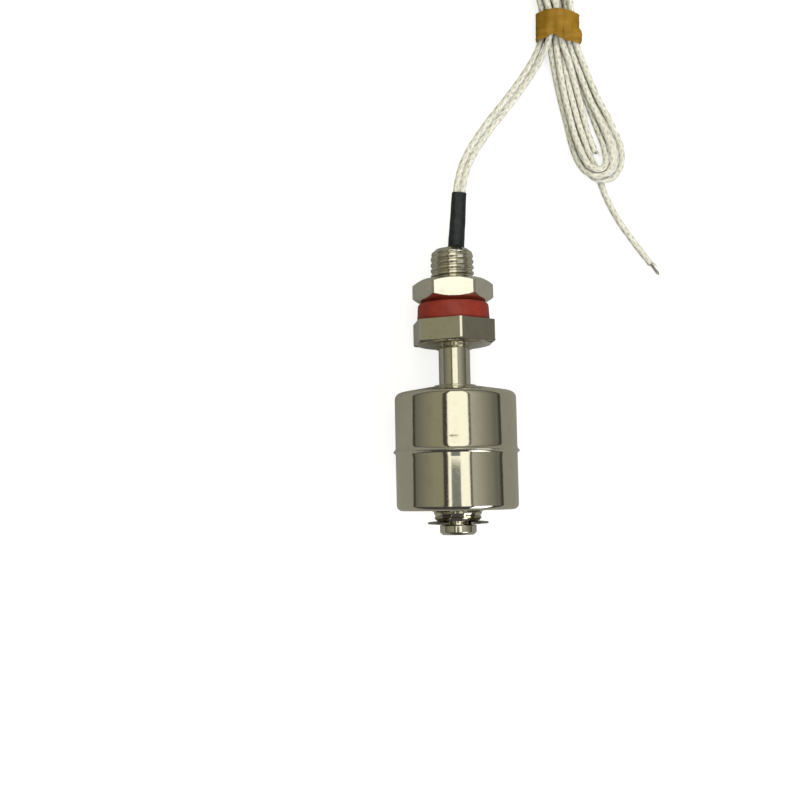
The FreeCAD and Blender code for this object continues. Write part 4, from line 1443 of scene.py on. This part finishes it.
    def build_fray(self, end: Vector, ahead: Vector) -> Piece:
        """Build the loose fibres of the braid's cut end.

        Args:
            end: the last point of the centre line.
            ahead: the wire's direction there.

        Returns:
            The fibres, as one piece.
        """
        chance = random.Random(len(self.name) + self.length)
        side = ahead.cross(Vector((0, 0, 1))).normalized()
        other = side.cross(ahead).normalized()
        made = []
        for number in range(self.fibres):
            around = FULL_TURN * number / self.fibres + chance.uniform(-0.2, 0.2)
            loose = 1.0 if math.cos(around) < -0.2 else 0.35
            spread = chance.uniform(*self.fibre_spread) * loose
            reach = chance.uniform(*self.fibre_reach) * loose + 0.2
            thick, outward = chance.uniform(*self.fibre_radius), side * math.cos(around) + other * math.sin(around)

            def place(angle: float, share: float) -> Vector:
                """Place a corner of one fibre.

                Args:
                    angle: the corner's angle round the fibre.
                    share: its share of the way along it.

                Returns:
                    Its place.
                """
                line = end + (ahead * (reach * share - 0.3) + outward * (self.fibre_root + spread * share * share)) * MM
                line.z = max(line.z, 0.00012)
                round_it = side * math.cos(angle) + other * math.sin(angle)
                return line + round_it * thick * (1 - 0.6 * share) * MM

            made.append(shaped_tube("fibre", 6, 5, place, True))
        fray = join(made, self.name + "_fray")
        tidy_mesh(fray, 60)
        return fray

    def build(self) -> list[Piece]:
        """Returns:
            The pieces.
        """
        centres = self.centre_line()
        wire = self.build_tube(centres)
        tip = self.build_tip()
        fray = self.build_fray(centres[-1], (centres[-1] - centres[-6]).normalized())
        for piece, slot in ((wire, "braided_wire"), (tip, "bare_copper"), (fray, "braided_wire")):
            self.finishes.dress(piece, slot)
            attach(piece, Body.SWITCH.value)
        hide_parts(*self.replaced)
        if self.tip_node:
            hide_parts(*self.tip_node)
        tuple(self.route[0])
        return [wire, tip, fray]


@dataclass
class Studio:
    """The floor, the soft light from all round and the camera.

    The sky is a table of angles across the part, in degrees from straight up, and of the light from there. Limits
    lengthwise are the direction's share along the part, from -1 at the stem's end to 1 at the wires' end.
    """

    sky: tuple = (
        (-180, (0.30, 0.30, 0.28)), (-93, (0.30, 0.30, 0.28)), (-92, (0.06, 0.06, 0.055)),
        (-87.5, (0.07, 0.07, 0.06)), (-85, (0.20, 0.195, 0.17)), (-70, (0.27, 0.26, 0.215)),
        (-45, (0.37, 0.36, 0.265)), (-28.5, (0.38, 0.37, 0.26)), (-27, (0.07, 0.063, 0.055)),
        (-19.5, (0.085, 0.075, 0.07)), (-17.8, (1.62, 1.60, 1.42)), (21, (1.58, 1.57, 1.42)),
        (22.5, (0.13, 0.13, 0.115)), (25.5, (0.17, 0.17, 0.15)), (27, (0.60, 0.59, 0.52)), (45, (0.46, 0.45, 0.39)),
        (55, (0.36, 0.355, 0.295)), (69, (0.27, 0.265, 0.225)), (75, (0.21, 0.205, 0.18)),
        (83, (0.20, 0.195, 0.175)), (86.5, (0.07, 0.07, 0.065)), (92, (0.06, 0.06, 0.055)),
        (93, (0.30, 0.30, 0.28)), (180, (0.30, 0.30, 0.28)))
    gap_angles: Span = (-13, 4.5)
    gap_ends: Span = (0.232, 0.216)
    gap_light: Light = (0.30, 0.31, 0.31)
    ends: tuple = (((-0.32, -0.46), (0.09, 0.085, 0.09)), ((0.86, 0.9), (0.12, 0.12, 0.09)),
                   ((0.93, 0.96), (0.36, 0.36, 0.29)))
    window_angles: Span = (30, 66)
    window_ends: Span = (-0.9, -0.42)
    window_light: Light = (3.5, 3.5, 3.6)
    peak: float = 3.6
    matt_lift: float = 0.9
    floor_size: float = 1.3
    floor_light: float = 0.78
    lens: float = 54.0
    sensor: float = 36.0
    camera_place: Point = (-0.011635, 0.031793, 0.278256)
    camera_turn: Point = (-7.2131, 0.0, -1.1535)

    def build_floor(self) -> None:
        """Build the pale floor, which is white to the camera and keeps the shadows."""
        bpy.ops.object.select_all(action="DESELECT")
        bpy.ops.mesh.primitive_plane_add(size=self.floor_size, location=(0, 0, 0))
        floor = named("floor")
        nodes = Finish("pale_floor")
        paper = nodes.noise(nodes.place((1, 1, 1), False), 0.4, 4.0)
        glow = nodes.sums("MULTIPLY", self.seen_through(nodes), self.floor_light)
        nodes.surface({"Base Color": nodes.blend(paper, linear(168, 168, 167), linear(172, 172, 171)),
                       "Roughness": 0.9, "Specular IOR Level": 0.1, "Normal": nodes.bump(paper, 0.05, 0.2),
                       "Emission Color": (1, 1, 1, 1), "Emission Strength": glow})
        floor.data.materials.append(nodes.material)

    def seen_through(self, nodes: NodeTree) -> Socket:
        """Return 1 for what the camera sees, straight or through glass, and 0 for light and reflections."""
        path = nodes.add("LightPath").outputs
        return nodes.sums("MAXIMUM", path["Is Camera Ray"], path["Is Transmission Ray"])

    def shade(self, value: Sequence[float]) -> Colour:
        """Return a light as a colour of the sky, whose strength is its peak."""
        return (*[part / self.peak for part in value], 1.0)

    def sky_colour(self, nodes: NodeTree) -> Socket:
        """Colour the sky by direction: tall soft boxes across the part, darker ends and a window to one side.

        Args:
            nodes: the world's node tree.

        Returns:
            The sky's colour.
        """
        split = nodes.add("SeparateXYZ", {0: nodes.add("TexCoord").outputs["Generated"]})
        across, lengthwise = split.outputs[0], split.outputs[1]
        angle = nodes.sums("DEGREES", nodes.sums("ARCTAN2", across, split.outputs[2]))
        ramp = nodes.add("ValToRGB", {0: nodes.between(angle, -180, 180)})
        stops = ramp.color_ramp.elements
        stops.remove(stops[1])
        for number, (turn, value) in enumerate(self.sky):
            stop = stops[0] if number == 0 else stops.new((turn + 180) / 360)
            stop.position, stop.color = (turn + 180) / 360, self.shade(value)
        gap = nodes.sums("MULTIPLY", nodes.within(angle, *self.gap_angles, 0.6),
                         nodes.between(lengthwise, *self.gap_ends, 0, 1))
        colour = nodes.blend(gap, ramp.outputs[0], self.shade(self.gap_light))
        for limits, light in self.ends:
            colour = nodes.blend(nodes.between(lengthwise, *limits), colour, self.shade(light))
        window = nodes.sums("MULTIPLY", nodes.within(angle, *self.window_angles, 1.0),
                            nodes.within(lengthwise, *self.window_ends, 0.01))
        return nodes.blend(window, colour, self.shade(self.window_light))

    def build_world(self) -> None:
        """Light the scene by direction across the part, as tall soft boxes would, and show white behind it."""
        world = bpy.data.worlds.new("soft_studio")
        world.use_nodes = True
        bpy.context.scene.world = world
        nodes = NodeTree(world.node_tree)
        matt = nodes.add("LightPath").outputs["Is Diffuse Ray"]
        lift = nodes.between(matt, 0, 1, self.peak, self.peak * (1 + self.matt_lift))
        studio = nodes.add("Background", {"Color": self.sky_colour(nodes), "Strength": lift})
        white = nodes.add("Background", {"Color": (1, 1, 1, 1), "Strength": 1.0})
        shown = nodes.add("MixShader", {0: self.seen_through(nodes), 1: studio.outputs[0], 2: white.outputs[0]})
        nodes.tree.links.new(shown.outputs[0], nodes.tree.nodes["World Output"].inputs["Surface"])

    def build_camera(self) -> None:
        """Stand the camera where the photograph was taken from."""
        turn = [math.radians(value) for value in self.camera_turn]
        bpy.ops.object.camera_add(location=self.camera_place, rotation=turn)
        camera = bpy.context.object
        camera.data.sensor_width, camera.data.lens = self.sensor, self.lens
        camera.data.clip_start, camera.data.clip_end = 0.01, 20.0
        bpy.context.scene.camera = camera

    def build(self) -> None:
        """Build all three and set the plain view."""
        bpy.context.scene.view_settings.view_transform = "Standard"
        self.build_floor()
        self.build_world()
        self.build_camera()


def main() -> None:
    """Build and dress the whole switch, and log each piece."""
    logging.basicConfig(level=logging.INFO, format="%(message)s")
    finishes = Finishes()
    Studio().build()
    makers = (
        BraidedWire(finishes, "wire_a", WIRE_A_ROUTE, 0.438, ("lead_wire_a", "wire_hank", "wire_tail"), WIRE_A_TIP,
                    ("bare_conductor",)),
        BraidedWire(finishes, "wire_b", WIRE_B_ROUTE, 0.426, ("lead_wire_b",), WIRE_B_TIP),
        TapeTie(finishes), WireOutlet(finishes), Fitting(finishes), NutAndSeal(finishes), Float(finishes),
        StemEnd(finishes),
    )
    for maker in makers:
        for piece in maker.build():
            LOG.info("%s: %s, %d faces", type(maker).__name__, piece.name, len(piece.data.polygons))
    for name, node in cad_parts.items():
        finishes.dress_node(node)
        LOG.info("packed node %s dressed", name)


if __name__ == "__main__":
    main()
